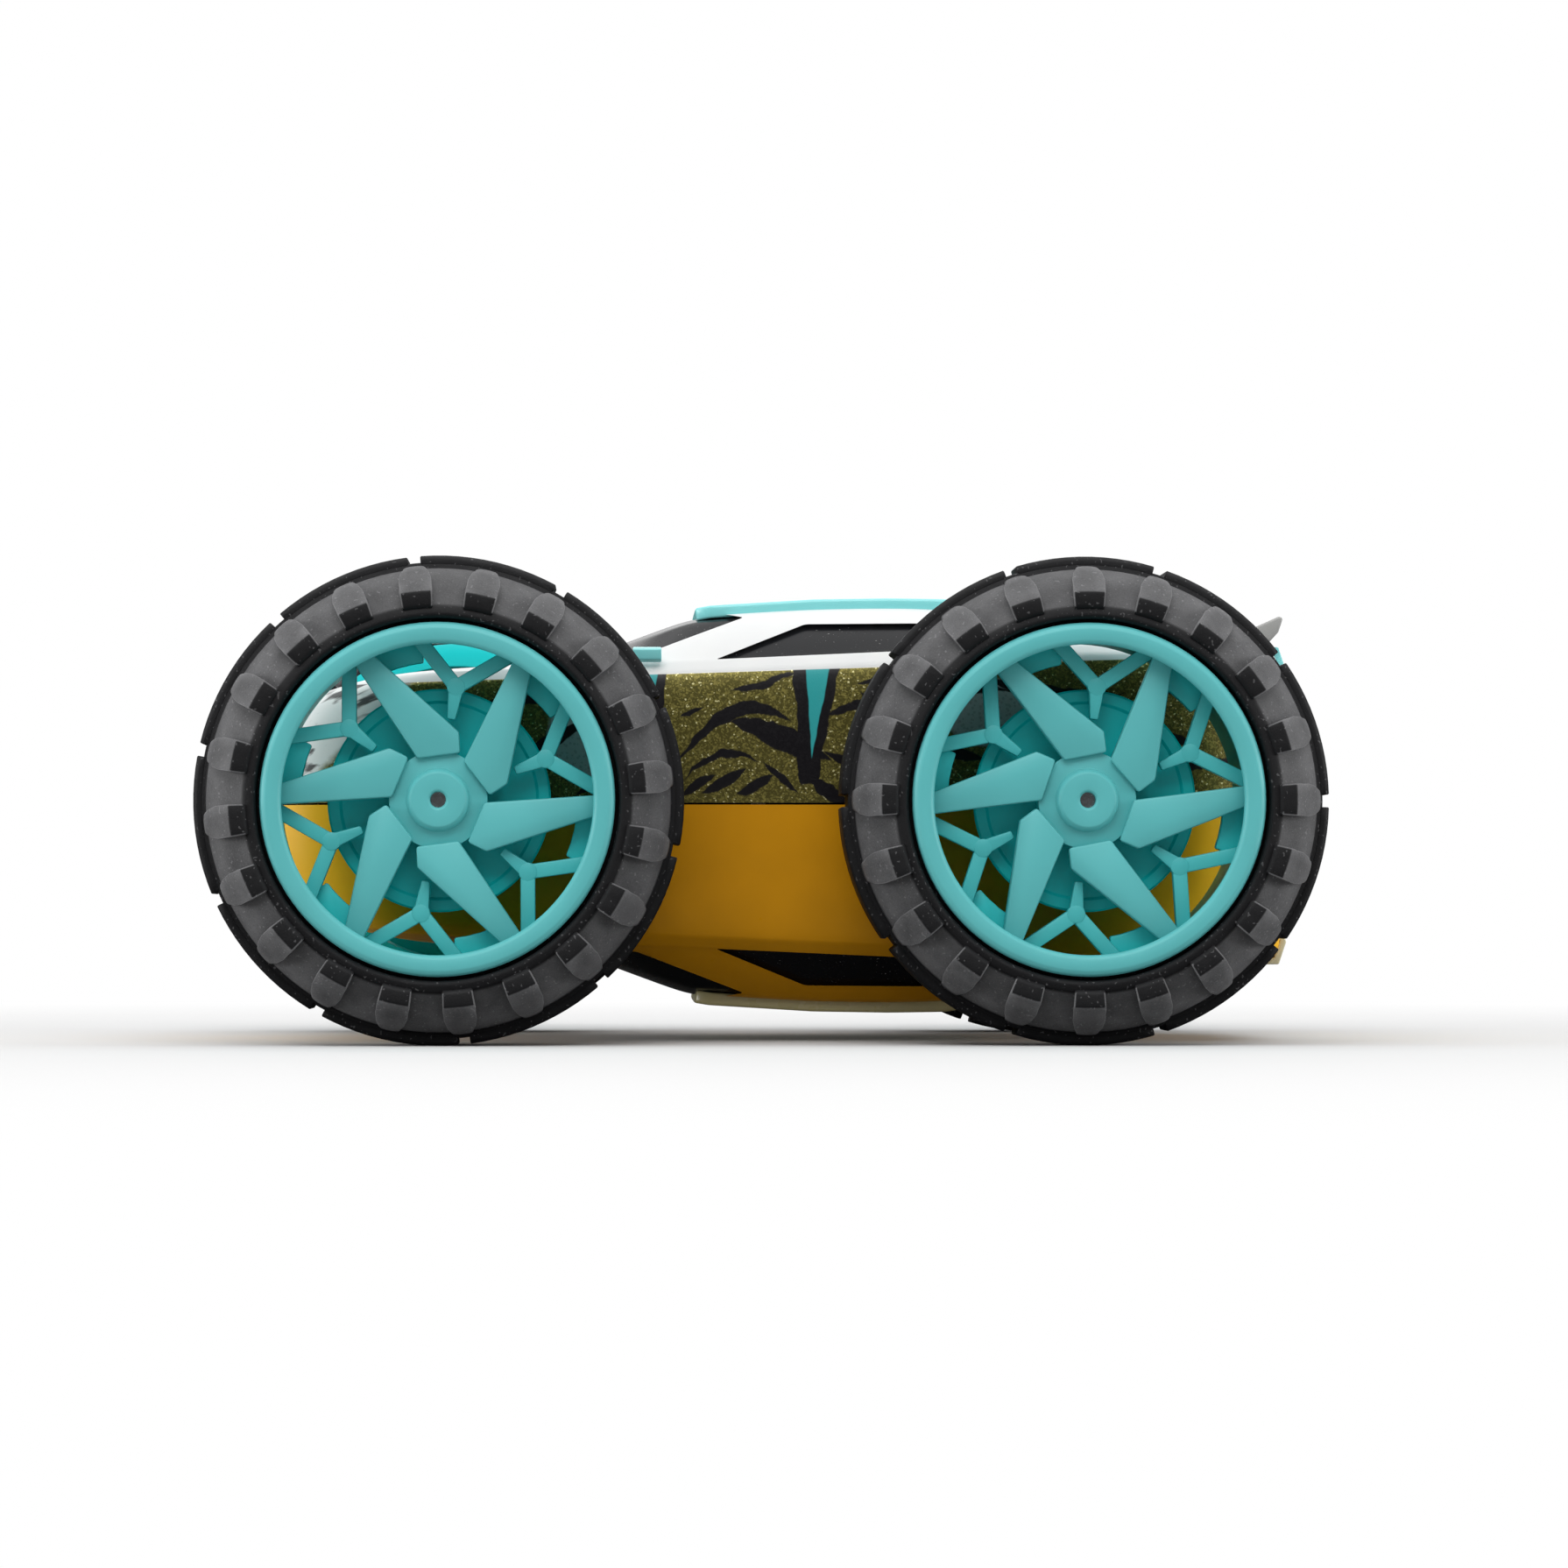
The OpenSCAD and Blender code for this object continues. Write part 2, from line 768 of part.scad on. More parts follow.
// Tyre: carcass, shoulder lugs on both sides and a centre band cut into blocks
module tyre(end, side) {
    r = wheel_d / 2;
    half_w = tyre_w / 2;
    block_phase = 180 - (end == "front" ? front_block_phase : rear_block_phase);
    at_wheel(end, side) {
        translate([0, 0, axle_z]) rotate([-90, 0, 0]) rotate_extrude() tyre_section([
            [barrel_r, half_w - ring_depth - 0.15], [18.35, half_w - ring_depth - 0.15],
            [18.35, half_w - 0.7], [18.8, half_w - 0.25], [19.7, half_w - 0.3],
            [21, half_w - 1.5], [22.6, half_w - 3.1], [r - 1.5, half_w - 4.8], [r - 1.3, 4.3],
            [r - 0.7, 4.2]]);
        intersection() {
            translate([0, 0, axle_z]) rotate([-90, 0, 0]) rotate_extrude() for (s = [-1, 1])
                translate([0, s > 0 ? 0 : 2 * (wheel_y - half_w)]) mirror([0, s > 0 ? 0 : 1])
                    polygon([for (p = [[19.4, half_w - 1], [19.7, half_w - 0.3],
                        [20.4, half_w - 0.2], [21.8, half_w - 0.8], [23.2, half_w - 2.2],
                        [r - 1.15, half_w - 3.9], [r - 1.1, 4], [22, 4]])
                        [p[0], wheel_y - half_w + p[1]]]);
            sectors(lug_count, block_phase, 9);
        }
        difference() {
            translate([0, 0, axle_z]) rotate([-90, 0, 0]) rotate_extrude()
                tyre_section([[r - 0.9, 4.2], [r, 4.2]]);
            sectors(block_count, block_phase, 3);
        }
    }
}

module tyre_front_left() {
    color([0.17, 0.17, 0.18]) tyre("front", "left");
}

module tyre_front_right() {
    color([0.17, 0.17, 0.18]) tyre("front", "right");
}

module tyre_rear_left() {
    color([0.17, 0.17, 0.18]) tyre("rear", "left");
}

module tyre_rear_right() {
    color([0.17, 0.17, 0.18]) tyre("rear", "right");
}

// ---- electrics and fasteners ----

module battery() {
    color([0.25, 0.45, 0.75]) translate([battery_x - battery_size[0] / 2,
        -battery_size[1] / 2, axle_z + deck_h[0] - 0.4 - battery_size[2]]) cube(battery_size);
}

// Control board with its chip, crystal, connector, aerial post and two lamps
module circuit_board() {
    color([0.1, 0.45, 0.25]) {
        translate([-41, -13, axle_z]) cube([31, 26, 1.2]);
        translate([-30, -4, axle_z + 1.1]) cube([8, 8, 1.4]);
        translate([-18, 3, axle_z + 1.1]) cube([4, 6, 2.6]);
        translate([-20, -9, axle_z + 1.1]) cube([6, 3, 3]);
        for (s = [-1, 1]) translate([-46, s * 7, axle_z + 3]) rotate([0, 90, 0])
            cylinder(r = 1.5, h = 6);
        for (s = [-1, 1]) translate([-40.5, s * 7 - 0.6, axle_z + 0.6]) cube([1, 1.2, 2.6]);
    }
}

// Body of the slide switch behind the rear bumper
module power_switch() {
    color([0.75, 0.75, 0.77]) difference() {
        translate([46.6, -12, axle_z - 2.2]) cube([4, 8, 4.4]);
        translate([48.2, -8 - switch_travel / 2 - 1.2, axle_z - 1.3])
            cube([3, switch_travel + 2.4, 2.6]);
    }
}

// Knob of the slide switch, ribbed at its tip
module switch_slider() {
    color([0.1, 0.1, 0.1]) translate([48.6, -8 - switch_travel / 2 - 0.8, axle_z - 0.9]) {
        cube([6.2, 1.6, 1.8]);
        for (k = [0:1]) translate([6.1, 0.15 + 0.9 * k, 0]) cube([0.4, 0.4, 1.8]);
    }
}

// Charging receptacle with its tongue
module charge_socket() {
    color([0.72, 0.72, 0.74]) {
        difference() {
            translate([48, 3.2, axle_z - 1.5]) cube([5.8, 7.6, 3]);
            translate([49, 3.6, axle_z - 1.1]) cube([6, 6.8, 2.2]);
        }
        translate([48.9, 4.6, axle_z + 0.1]) cube([4, 4.8, 0.6]);
    }
}

// Four screws that clamp the lower shell to the upper one
module shell_screws() {
    color([0.55, 0.55, 0.57]) for (x = [-1, 1]) for (y = [-1, 1])
        translate([x * screw_at[0], y * screw_at[1], 0]) difference() {
            union() {
                translate([0, 0, axle_z - 11]) cylinder(r = screw_r, h = 18.5);
                translate([0, 0, axle_z - 12.3]) cylinder(r = 1.9, h = 1.3);
            }
            for (turn = [0, 90]) translate([0, 0, axle_z - 12.4]) rotate(turn)
                translate([-1.2, -0.25, 0]) cube([2.4, 0.5, 0.7]);
        }
}

// Steel pins that the idlers, centre gears and compound gears turn on
module gear_pins() {
    color([0.68, 0.68, 0.7]) for (side = ["left", "right"])
        on_side(side) for (at = [[-idler_x, 0], [0, 0], [idler_x, 0], compound_at])
            disc(at, [plate_y[0] + 0.1, cover_y[1]], pin_r);
}

// A lead along straight runs with round elbows
module lead(route) {
    for (k = [0:len(route) - 2]) {
        v = route[k + 1] - route[k];
        translate(route[k]) rotate([0, acos(v[2] / norm(v)), atan2(v[1], v[0])])
            cylinder(r = lead_r, h = norm(v), $fn = lead_fn);
        if (k > 0) translate(route[k]) sphere(lead_r, $fn = lead_fn);
    }
}

// Leads from the board to the motors, the battery and the socket
module wiring() {
    color([0.75, 0.12, 0.1]) {
        for (s = [-1, 1]) lead([[-11, s * 1.6, axle_z + 1.2], [-11, s * 1.6, axle_z + 7],
            [pinion_at[0] - 3.4, s * 1.2, axle_z + 7], [pinion_at[0] - 3.4, s * 1.2,
            axle_z + pinion_at[1] - 0.2]]);
        lead([[-12, -11, axle_z + 1.2], [-12, -11, axle_z + 3.4], [-8.4, -9, axle_z + 3.4],
            [-8, -3, axle_z - 3.4], [40, -3, axle_z - 3.4], [46.2, -8, axle_z]]);
        lead([[-12, 11.4, axle_z + 1.2], [-12, 11.4, axle_z + 3.4], [-8.4, 9, axle_z + 3.4],
            [-8, 3, axle_z - 3.4], [40, 3, axle_z - 3.4], [47.6, 7, axle_z]]);
    }
}

upper_shell();
lower_shell();
upper_roof_panel();
lower_roof_panel();
upper_glazing();
lower_glazing();
upper_headlamps();
lower_headlamps();
upper_tail_panel();
lower_tail_panel();
rear_spoiler();
mirror_left();
mirror_right();
front_bumper();
rear_bumper();
chassis_frame();
gearbox_plate_left();
gearbox_plate_right();
gearbox_cover_left();
gearbox_cover_right();
motor_left();
motor_right();
pinion_left();
pinion_right();
compound_gear_left();
compound_gear_right();
centre_gear_left();
centre_gear_right();
idler_gear_front_left();
idler_gear_front_right();
idler_gear_rear_left();
idler_gear_rear_right();
wheel_gear_front_left();
wheel_gear_front_right();
wheel_gear_rear_left();
wheel_gear_rear_right();
axle_front_left();
axle_front_right();
axle_rear_left();
axle_rear_right();
bush_front_left();
bush_front_right();
bush_rear_left();
bush_rear_right();
rim_front_left();
rim_front_right();
rim_rear_left();
rim_rear_right();
tyre_front_left();
tyre_front_right();
tyre_rear_left();
tyre_rear_right();
battery();
circuit_board();
power_switch();
switch_slider();
charge_socket();
shell_screws();
gear_pins();
wiring();
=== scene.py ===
"""Looks of a two-sided stunt car: shells, glazing, printed sides, rims and tyres, in metres."""

import json
import logging
import math
from collections.abc import Callable, Iterable, Sequence
from dataclasses import dataclass
from enum import Enum

import bmesh
import bpy
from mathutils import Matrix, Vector


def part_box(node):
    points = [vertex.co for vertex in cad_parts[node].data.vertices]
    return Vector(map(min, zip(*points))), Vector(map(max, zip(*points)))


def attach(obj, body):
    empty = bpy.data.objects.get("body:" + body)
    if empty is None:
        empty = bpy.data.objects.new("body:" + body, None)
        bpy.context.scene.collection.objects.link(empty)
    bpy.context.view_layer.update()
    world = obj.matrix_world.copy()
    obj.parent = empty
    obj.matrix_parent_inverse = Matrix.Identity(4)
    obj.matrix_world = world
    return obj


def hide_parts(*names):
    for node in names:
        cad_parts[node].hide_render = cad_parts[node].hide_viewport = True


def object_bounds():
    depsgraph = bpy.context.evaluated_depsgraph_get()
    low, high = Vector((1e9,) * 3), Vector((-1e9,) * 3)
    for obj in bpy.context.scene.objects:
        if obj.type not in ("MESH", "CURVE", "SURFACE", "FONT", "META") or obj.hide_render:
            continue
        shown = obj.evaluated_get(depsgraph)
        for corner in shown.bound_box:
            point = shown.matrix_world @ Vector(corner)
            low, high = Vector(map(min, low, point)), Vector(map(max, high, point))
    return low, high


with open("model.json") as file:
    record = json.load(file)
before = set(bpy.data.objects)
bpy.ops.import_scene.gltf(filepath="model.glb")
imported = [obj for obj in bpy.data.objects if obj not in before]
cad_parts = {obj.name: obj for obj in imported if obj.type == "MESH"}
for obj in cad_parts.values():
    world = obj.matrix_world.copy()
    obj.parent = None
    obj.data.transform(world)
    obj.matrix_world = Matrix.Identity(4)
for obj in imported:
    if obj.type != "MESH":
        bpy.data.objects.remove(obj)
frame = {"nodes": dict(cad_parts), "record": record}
CAD_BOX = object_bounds()
log = logging.getLogger("stunt_car")

MM = 0.001
Point = tuple[float, float]
Colour = tuple[float, float, float]
WHITE: Colour = (1.0, 1.0, 1.0)
# The mesh attribute that says where a tyre is paled: scuffs and dust, and painted sheen on its
# slopes and ridges
WEAR_AND_SHEEN = "wear"
# Corners nearer to each other than this become one
WELD = 0.004 * MM


# ---------------------------------------------------------------- names of the car's places


class Side(Enum):
    """A side of the car, by the sign of Y."""

    LEFT = -1
    RIGHT = 1


class End(Enum):
    """An end of the car, by the sign of X."""

    FRONT = -1
    REAR = 1


class Face(Enum):
    """One of the two cars back to back, by the sign of the height above the axles."""

    UPPER = 1
    LOWER = -1


@dataclass(frozen=True)
class Layout:
    """Where the axle plane and the axles lie, read from the frame."""

    axle_h: float = (CAD_BOX[0][2] + CAD_BOX[1][2]) / 2

    @property
    def axle_x(self) -> float:
        """Distance of an axle from the middle of the car."""
        low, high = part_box("axle_rear_left")
        return (low[0] + high[0]) / 2


LAYOUT = Layout()


# ---------------------------------------------------------------- shader maths


class Term:
    """A shader socket or number whose operators add Math nodes to its tree."""

    def __init__(self, bench: "NodeBench", socket: "bpy.types.NodeSocket | float") -> None:
        """Keeps the bench that adds nodes and the socket or number that this term stands for."""
        self.bench = bench
        self.socket = socket

    def math(self, operation: str, *others: "Term | float") -> "Term":
        """Adds one Math node.

        Args:
            operation: The node's operation.
            others: The second value, where the operation takes one.

        Returns:
            The node's result.
        """
        return self.bench.node("ShaderNodeMath", {"operation": operation},
                               dict(enumerate((self, *others))))

    def __add__(self, other: "Term | float") -> "Term":
        """Sum, whichever of the two comes first."""
        return self.math("ADD", other)

    __radd__ = __add__

    def __sub__(self, other: "Term | float") -> "Term":
        """Difference."""
        return self.math("SUBTRACT", other)

    def __rsub__(self, other: float) -> "Term":
        """Difference from a number."""
        return Term(self.bench, other).math("SUBTRACT", self)

    def __mul__(self, other: "Term | float") -> "Term":
        """Product."""
        return self.math("MULTIPLY", other)

    def __truediv__(self, other: float) -> "Term":
        """Quotient with a number."""
        return self.math("MULTIPLY", 1 / other)

    def __abs__(self) -> "Term":
        """Size without sign."""
        return self.math("ABSOLUTE")

    def ramp(self, low: float, high: float) -> "Term":
        """Smooth rise from 0 at low to 1 at high, which may be the other way round."""
        return self.bench.node("ShaderNodeMapRange", {"interpolation_type": "SMOOTHSTEP"},
                               {"Value": self, "From Min": low, "From Max": high})

    def least(self, other: "Term | float") -> "Term":
        """The smaller of two values."""
        return self.math("MINIMUM", other)

    def most(self, other: "Term | float") -> "Term":
        """The larger of two values."""
        return self.math("MAXIMUM", other)


class NodeBench:
    """Adds nodes to one tree and wires them."""

    def __init__(self, owner: "bpy.types.Material | bpy.types.World") -> None:
        """Empties the node tree of a material or world and keeps it."""
        owner.use_nodes = True
        self.owner = owner
        self.tree = owner.node_tree
        self.tree.nodes.clear()

    def add(self, kind: str, settings: dict, inputs: dict) -> "bpy.types.Node":
        """Adds a node.

        Args:
            kind: The node's type.
            settings: Its own settings, which are set first.
            inputs: Values, colours, terms or sockets for its inputs, by name or number.

        Returns:
            The node.
        """
        made = self.tree.nodes.new(kind)
        for key, value in settings.items():
            setattr(made, key, value)
        for key, value in inputs.items():
            self.feed(made.inputs[key], value)
        return made

    def node(self, kind: str, settings: dict, inputs: dict, out: int | str = 0) -> Term:
        """Adds a node as add() does, and returns one of its outputs, by name or number."""
        return Term(self, self.add(kind, settings, inputs).outputs[out])

    def feed(self, target: "bpy.types.NodeSocket", value: object) -> None:
        """Links a term or socket to an input, or sets a plain value on it."""
        if isinstance(value, Term):
            value = value.socket
        if isinstance(value, bpy.types.NodeSocket):
            self.tree.links.new(value, target)
        elif isinstance(value, tuple) and len(value) == 3 and target.type == "RGBA":
            target.default_value = (*value, 1.0)
        else:
            target.default_value = value

    def place(self) -> Term:
        """Object coordinates, in metres."""
        return self.node("ShaderNodeTexCoord", {}, {}, "Object")

    def axis(self, place: Term) -> tuple[Term, ...]:
        """The three parts of a place or a colour."""
        split = self.add("ShaderNodeSeparateXYZ", {}, {0: place})
        return tuple(Term(self, output) for output in split.outputs)

    def noise(self, size: float, place: Term | None = None, detail: float = 2) -> Term:
        """Noise about 0.5.

        Args:
            size: Size of its features, in metres.
            place: The coordinates it is read at; object coordinates where none are given.
            detail: How many finer layers it has.

        Returns:
            The noise.
        """
        return self.node("ShaderNodeTexNoise", {"noise_dimensions": "3D"}, {
            "Vector": place or self.place(), "Scale": 1 / size, "Detail": detail})

    def cells(self, size: float, out: str = "Color") -> Term:
        """Voronoi cells of a size in metres: their random colour, or the distance inside them."""
        return self.node("ShaderNodeTexVoronoi", {},
                         {"Vector": self.place(), "Scale": 1 / size}, out)

    def mix(self, mask: Term | float, first: object, second: object) -> Term:
        """A colour between two, by a mask from 0 to 1."""
        return self.node("ShaderNodeMix", {"data_type": "RGBA", "clamp_factor": True},
                         {0: mask, 6: first, 7: second}, 2)


class SurfaceBench(NodeBench):
    """The nodes of one material, around its main shader."""

    def __init__(self, name: str) -> None:
        """Makes a material of that name with its output and main shader."""
        super().__init__(bpy.data.materials.new(name))
        self.shader = self.add("ShaderNodeBsdfPrincipled", {}, {})
        self.output = self.add("ShaderNodeOutputMaterial", {}, {"Surface": self.shader.outputs[0]})

    def set(self, **inputs: object) -> None:
        """Feeds the main shader's inputs; underscores in a name stand for spaces."""
        for key, value in inputs.items():
            self.feed(self.shader.inputs[key.replace("_", " ")], value)

    def bump(self, height: Term, depth: float, strength: float = 1.0) -> None:
        """Feeds the shader's normal from a height between 0 and 1, a depth in metres."""
        self.set(Normal=self.node(
            "ShaderNodeBump", {}, {"Strength": strength, "Distance": depth, "Height": height},
            "Normal",
        ))


# ---------------------------------------------------------------- finishes


# The value that noise varies about
MID = 0.5


@dataclass(frozen=True)
class Moulding:
    """Moulded plastic: uneven colour, fine grain, and on some a clear coat or dust.

    Where a painted light colour is given, the plastic turns to it over painted_light_span, in
    millimetres along one axis from the middle of the car. This is painted light that stands in for
    how light falls there, not a colour of the plastic.
    one axis from the middle of the car.
    """

    name: str
    colour: Colour
    rough: float = 0.4
    coat: float = 0.0
    mottle: float = 0.06
    mottle_size: float = 9 * MM
    grain: float = 0.35 * MM
    grain_depth: float = 0.004 * MM
    dust: float = 0.0
    dust_colour: Colour = (0.62, 0.62, 0.60)
    dust_sizes: Point = (0.22 * MM, 5 * MM)
    smear: float = 0.12
    smear_size: float = 4 * MM
    gloss: float = 0.5
    # The tone painted in along one axis for how light falls there: painted light, not the
    # plastic's colour
    painted_light: Colour | None = None
    painted_light_axis: int = 1
    painted_light_span: Point = (45.0, 41.2)

    def base(self, bench: NodeBench) -> Term:
        """The plastic's own colour, turned to the painted light tone where one is given, before
        dust.
        """
        drift = bench.noise(self.mottle_size, detail=3).ramp(0.3, 0.7)
        darker = tuple(c * (1 - self.mottle) for c in self.colour)
        own = bench.mix(drift, darker, self.colour)
        if self.painted_light is None:
            return own
        # Painted light: the share of the painted tone grows along one axis from the middle of the
        # car
        painted_light_share = (abs(bench.axis(bench.place())[self.painted_light_axis]) / MM).ramp(*self.painted_light_span)
        return bench.mix(painted_light_share, own, self.painted_light)

    def dusted(self, bench: NodeBench, colour: Term) -> Term:
        """The colour under sparse pale specks of dust."""
        speck_size, cloud_size = self.dust_sizes
        specks = bench.noise(speck_size, detail=1).ramp(0.70, 0.78)
        spread = bench.noise(cloud_size, detail=2).ramp(0.42, 0.7)
        return bench.mix(specks * spread * self.dust, colour, self.dust_colour)

    def make(self) -> bpy.types.Material:
        """Builds the material."""
        bench = SurfaceBench(self.name)
        colour = self.base(bench)
        if self.dust:
            colour = self.dusted(bench, colour)
        smear = (bench.noise(self.smear_size, detail=4) - MID) * self.smear
        bench.set(Base_Color=colour, Roughness=self.rough + smear,
                  Specular_IOR_Level=self.gloss, Coat_Weight=self.coat, Coat_Roughness=0.08)
        bench.bump(bench.noise(self.grain, detail=2), self.grain_depth, 0.5)
        return bench.owner


@dataclass(frozen=True)
class Metal:
    """Bare or plated metal with fine marks along one axis."""

    name: str
    colour: Colour
    rough: float = 0.3
    brush: tuple[float, float, float] = (1.0, 1.0, 1.0)
    mark_size: float = 0.4 * MM
    mark_depth: float = 0.01 * MM

    def make(self) -> bpy.types.Material:
        """Builds the material."""
        bench = SurfaceBench(self.name)
        place = bench.node("ShaderNodeMapping", {}, {"Vector": bench.place(), "Scale": self.brush})
        marks = bench.noise(self.mark_size, place, detail=4)
        darker = tuple(c * 0.8 for c in self.colour)
        bench.set(Base_Color=bench.mix(marks, darker, self.colour), Metallic=1.0,
                  Roughness=self.rough + (marks - MID) * 0.2)
        bench.bump(marks, self.mark_depth, 0.4)
        return bench.owner


@dataclass(frozen=True)
class Rubber:
    """Soft dark tyre rubber, paler where it is scuffed and where painted sheen stands in for light
    on its slopes, with dust in its grain.
    """

    name: str
    colour: Colour
    # The pale tone of scuffs, dust and painted sheen on the slopes and ridges
    scuffed_and_lit: Colour
    rough: float = 0.62
    cloud_size: float = 2.2 * MM
    grain_size: float = 0.16 * MM
    speck_size: float = 0.3 * MM
    pebble_size: float = 0.7 * MM
    depth: float = 0.05 * MM

    def make(self) -> bpy.types.Material:
        """Builds the material, paled where the mesh's attribute says: scuffs, dust and painted
        sheen.
        """
        bench = SurfaceBench(self.name)
        wear = bench.node("ShaderNodeAttribute", {"attribute_name": WEAR_AND_SHEEN}, {}, "Fac")
        cloud = bench.noise(self.cloud_size, detail=4)
        grain = bench.noise(self.grain_size, detail=2)
        specks = bench.noise(self.speck_size, detail=0).ramp(0.72, 0.8) * 0.35
        # Painted sheen with scuffs: slopes and ridges are paled as if catching light from above,
        # along with real scuffs and dust
        scuff_and_sheen = wear * (0.45 + cloud * 0.9) + specks + (grain - MID) * wear * 0.6
        bench.set(Base_Color=bench.mix(scuff_and_sheen.most(0.0).least(1.0), self.colour, self.scuffed_and_lit),
                  Specular_IOR_Level=0.25, Roughness=self.rough + (cloud - MID) * 0.2)
        bench.bump(grain + bench.noise(self.pebble_size, detail=3) * 0.8, self.depth, 0.5)
        return bench.owner


@dataclass(frozen=True)
class Stroke:
    """One ink stroke on a printed side: an arc whose thickness fades towards its ends."""

    x: float
    h: float
    slope: float
    bend: float
    reach: float
    thick: float

    def mask(self, x: Term, h: Term) -> Term:
        """Ink from 0 to 1, for places in millimetres."""
        along = x - self.x
        middle = along * self.slope + along * along * self.bend + self.h
        fade = 1 - (along / self.reach).math("POWER", 2.0)
        return (abs(h - middle) - fade * (self.thick / 2)).ramp(0.10, -0.10)


@dataclass(frozen=True)
class PrintedSide:
    """Printed flank of the upper car: olive gold flakes, a few painted as glints, under ink
    strokes, below a bright belt.

    Lengths are in millimetres: x along the car, h above the axles.
    """

    name: str
    gold: Colour = (0.290, 0.250, 0.065)
    gold_deep: Colour = (0.120, 0.105, 0.026)
    # Painted glint: the pale tone of the brightest flakes, as if they caught the light
    painted_glint: Colour = (0.75, 0.70, 0.35)
    shell: Colour = (0.78, 0.79, 0.78)
    shell_dull: Colour = (0.74, 0.75, 0.75)
    silver: Colour = (0.50, 0.52, 0.52)
    silver_dot: Colour = (0.2, 0.2, 0.2)
    ink: Colour = (0.006, 0.005, 0.007)
    teal: Colour = (0.03, 0.40, 0.41)
    belt_at: float = 13.92
    belt_slope: float = 0.033
    flank_from: Point = (19.0, 20.5)
    tail_from: Point = (53.6, 53.0)
    nose_from: Point = (-48.8, -50.2)
    ovals: tuple[tuple[Point, Point], ...] = (
        ((-18.6, 6.8), (3.6, 4.6)), ((24.2, 9.6), (4.6, 3.6)))
    streak_scale: tuple[float, float, float] = (24.0, 1.0, 1.0)
    streak_turn: tuple[float, float, float] = (0.0, -0.33, 0.0)
    wedge_edge: float = 1.25
    strokes: tuple[tuple[float, ...], ...] = (
        (0.6, 12.6, 0.30, 0.02, 3.4, 1.0), (-7.1, 9.5, 0.35, 0.0, 1.4, 0.7),
        (-2.8, 9.6, 0.41, -0.092, 6.2, 1.7), (2.4, 6.9, -0.40, -0.01, 5.4, 2.9),
        (-3.9, 5.2, 0.23, -0.122, 3.9, 0.9), (2.2, 2.7, -0.85, 0.0, 1.9, 1.0),
        (-6.4, 2.0, 0.62, 0.0, 1.7, 1.3), (-3.6, 2.3, 0.55, 0.02, 2.3, 1.6),
        (-0.4, 1.8, 0.50, 0.02, 2.0, 1.3), (7.4, 1.2, -0.55, 0.0, 2.0, 2.0),
        (10.2, 10.4, 0.30, -0.04, 3.4, 1.0), (9.4, 4.2, -0.5, 0.0, 2.6, 1.2),
        (12.2, 12.9, 0.15, 0.0, 2.2, 0.6), (17.0, 7.0, -0.55, 0.03, 6.5, 2.4),
        (21.5, 12.0, 0.12, -0.03, 5.0, 1.1), (27.5, 4.2, 0.42, -0.02, 7.0, 1.6),
        (31.0, 11.4, -0.12, 0.02, 7.5, 1.9), (40.5, 8.0, -0.45, 0.03, 6.0, 1.5),
        (45.0, 11.6, -0.3, 0.0, 4.6, 1.2), (46.0, 4.0, 0.25, -0.02, 5.5, 1.0),
        (-16.5, 10.2, -0.7, 0.03, 3.2, 2.0), (-15.0, 3.6, 0.5, -0.04, 4.4, 1.6),
        (-22.5, 6.0, 0.75, -0.05, 5.0, 2.0), (-25.0, 11.0, 0.2, -0.03, 6.0, 1.6),
        (-31.0, 4.6, -0.35, 0.03, 6.0, 1.3),
    )

    def wedges(self, x: Term, h: Term, spread: float) -> Term:
        """Two downward wedges, one beside the middle and one nearer the nose.

        Args:
            x: Place along the car.
            h: Height above the axles.
            spread: How far the wedges reach past their own edges.

        Returns:
            A mask from 0 to 1.
        """
        half = (h - 4.8) * 0.13 + spread
        along = x - h * 0.07
        middle = abs(along - 5.2).least(abs(along + 12.3) + 0.35)
        return (middle - half).ramp(0.08, -0.08) * (h + spread * 2.2).ramp(4.6, 5.0)

    def patch(self, x: Term, h: Term, at: Point, size: Point) -> Term:
        """Soft-edged oval about a point, with its two half sizes."""
        along = (x - at[0]) / size[0]
        up = (h - at[1]) / size[1]
        return (along * along + up * up).ramp(1.15, 0.85)

    def inked(self, x: Term, h: Term) -> Term:
        """Every stroke and the wedges' dark edges, as a mask from 0 to 1."""
        ink = self.wedges(x + 0.15, h, self.wedge_edge)
        for numbers in self.strokes:
            ink = ink.most(Stroke(*numbers).mask(x, h))
        return ink

    def streaked(self, bench: SurfaceBench) -> Term:
        """The nose's colour: thin dark streaks on the plain shell."""
        along = bench.node("ShaderNodeMapping", {"vector_type": "TEXTURE"}, {
            "Vector": bench.place(), "Scale": self.streak_scale, "Rotation": self.streak_turn})
        hair = bench.noise(1.1 * MM, along, detail=3).ramp(0.50, 0.64) * 0.9
        return bench.mix(hair, self.shell, self.ink)

    def make(self) -> bpy.types.Material:
        """Builds the material, the same on both flanks."""
        bench = SurfaceBench(self.name)
        along, across, up = bench.axis(bench.place())
        x_true, h_true = along / MM, (up - LAYOUT.axle_h) / MM
        warp = bench.noise(1.6 * MM, detail=3) - MID
        x = x_true + (bench.noise(2.6 * MM, detail=2) - MID) * 1.3
        h = h_true + warp * 0.9
        flakes = bench.axis(bench.cells(0.16 * MM))[0]
        glitter = flakes.ramp(0.35, 1.0)
        gold = bench.mix(glitter, self.gold_deep, self.gold)
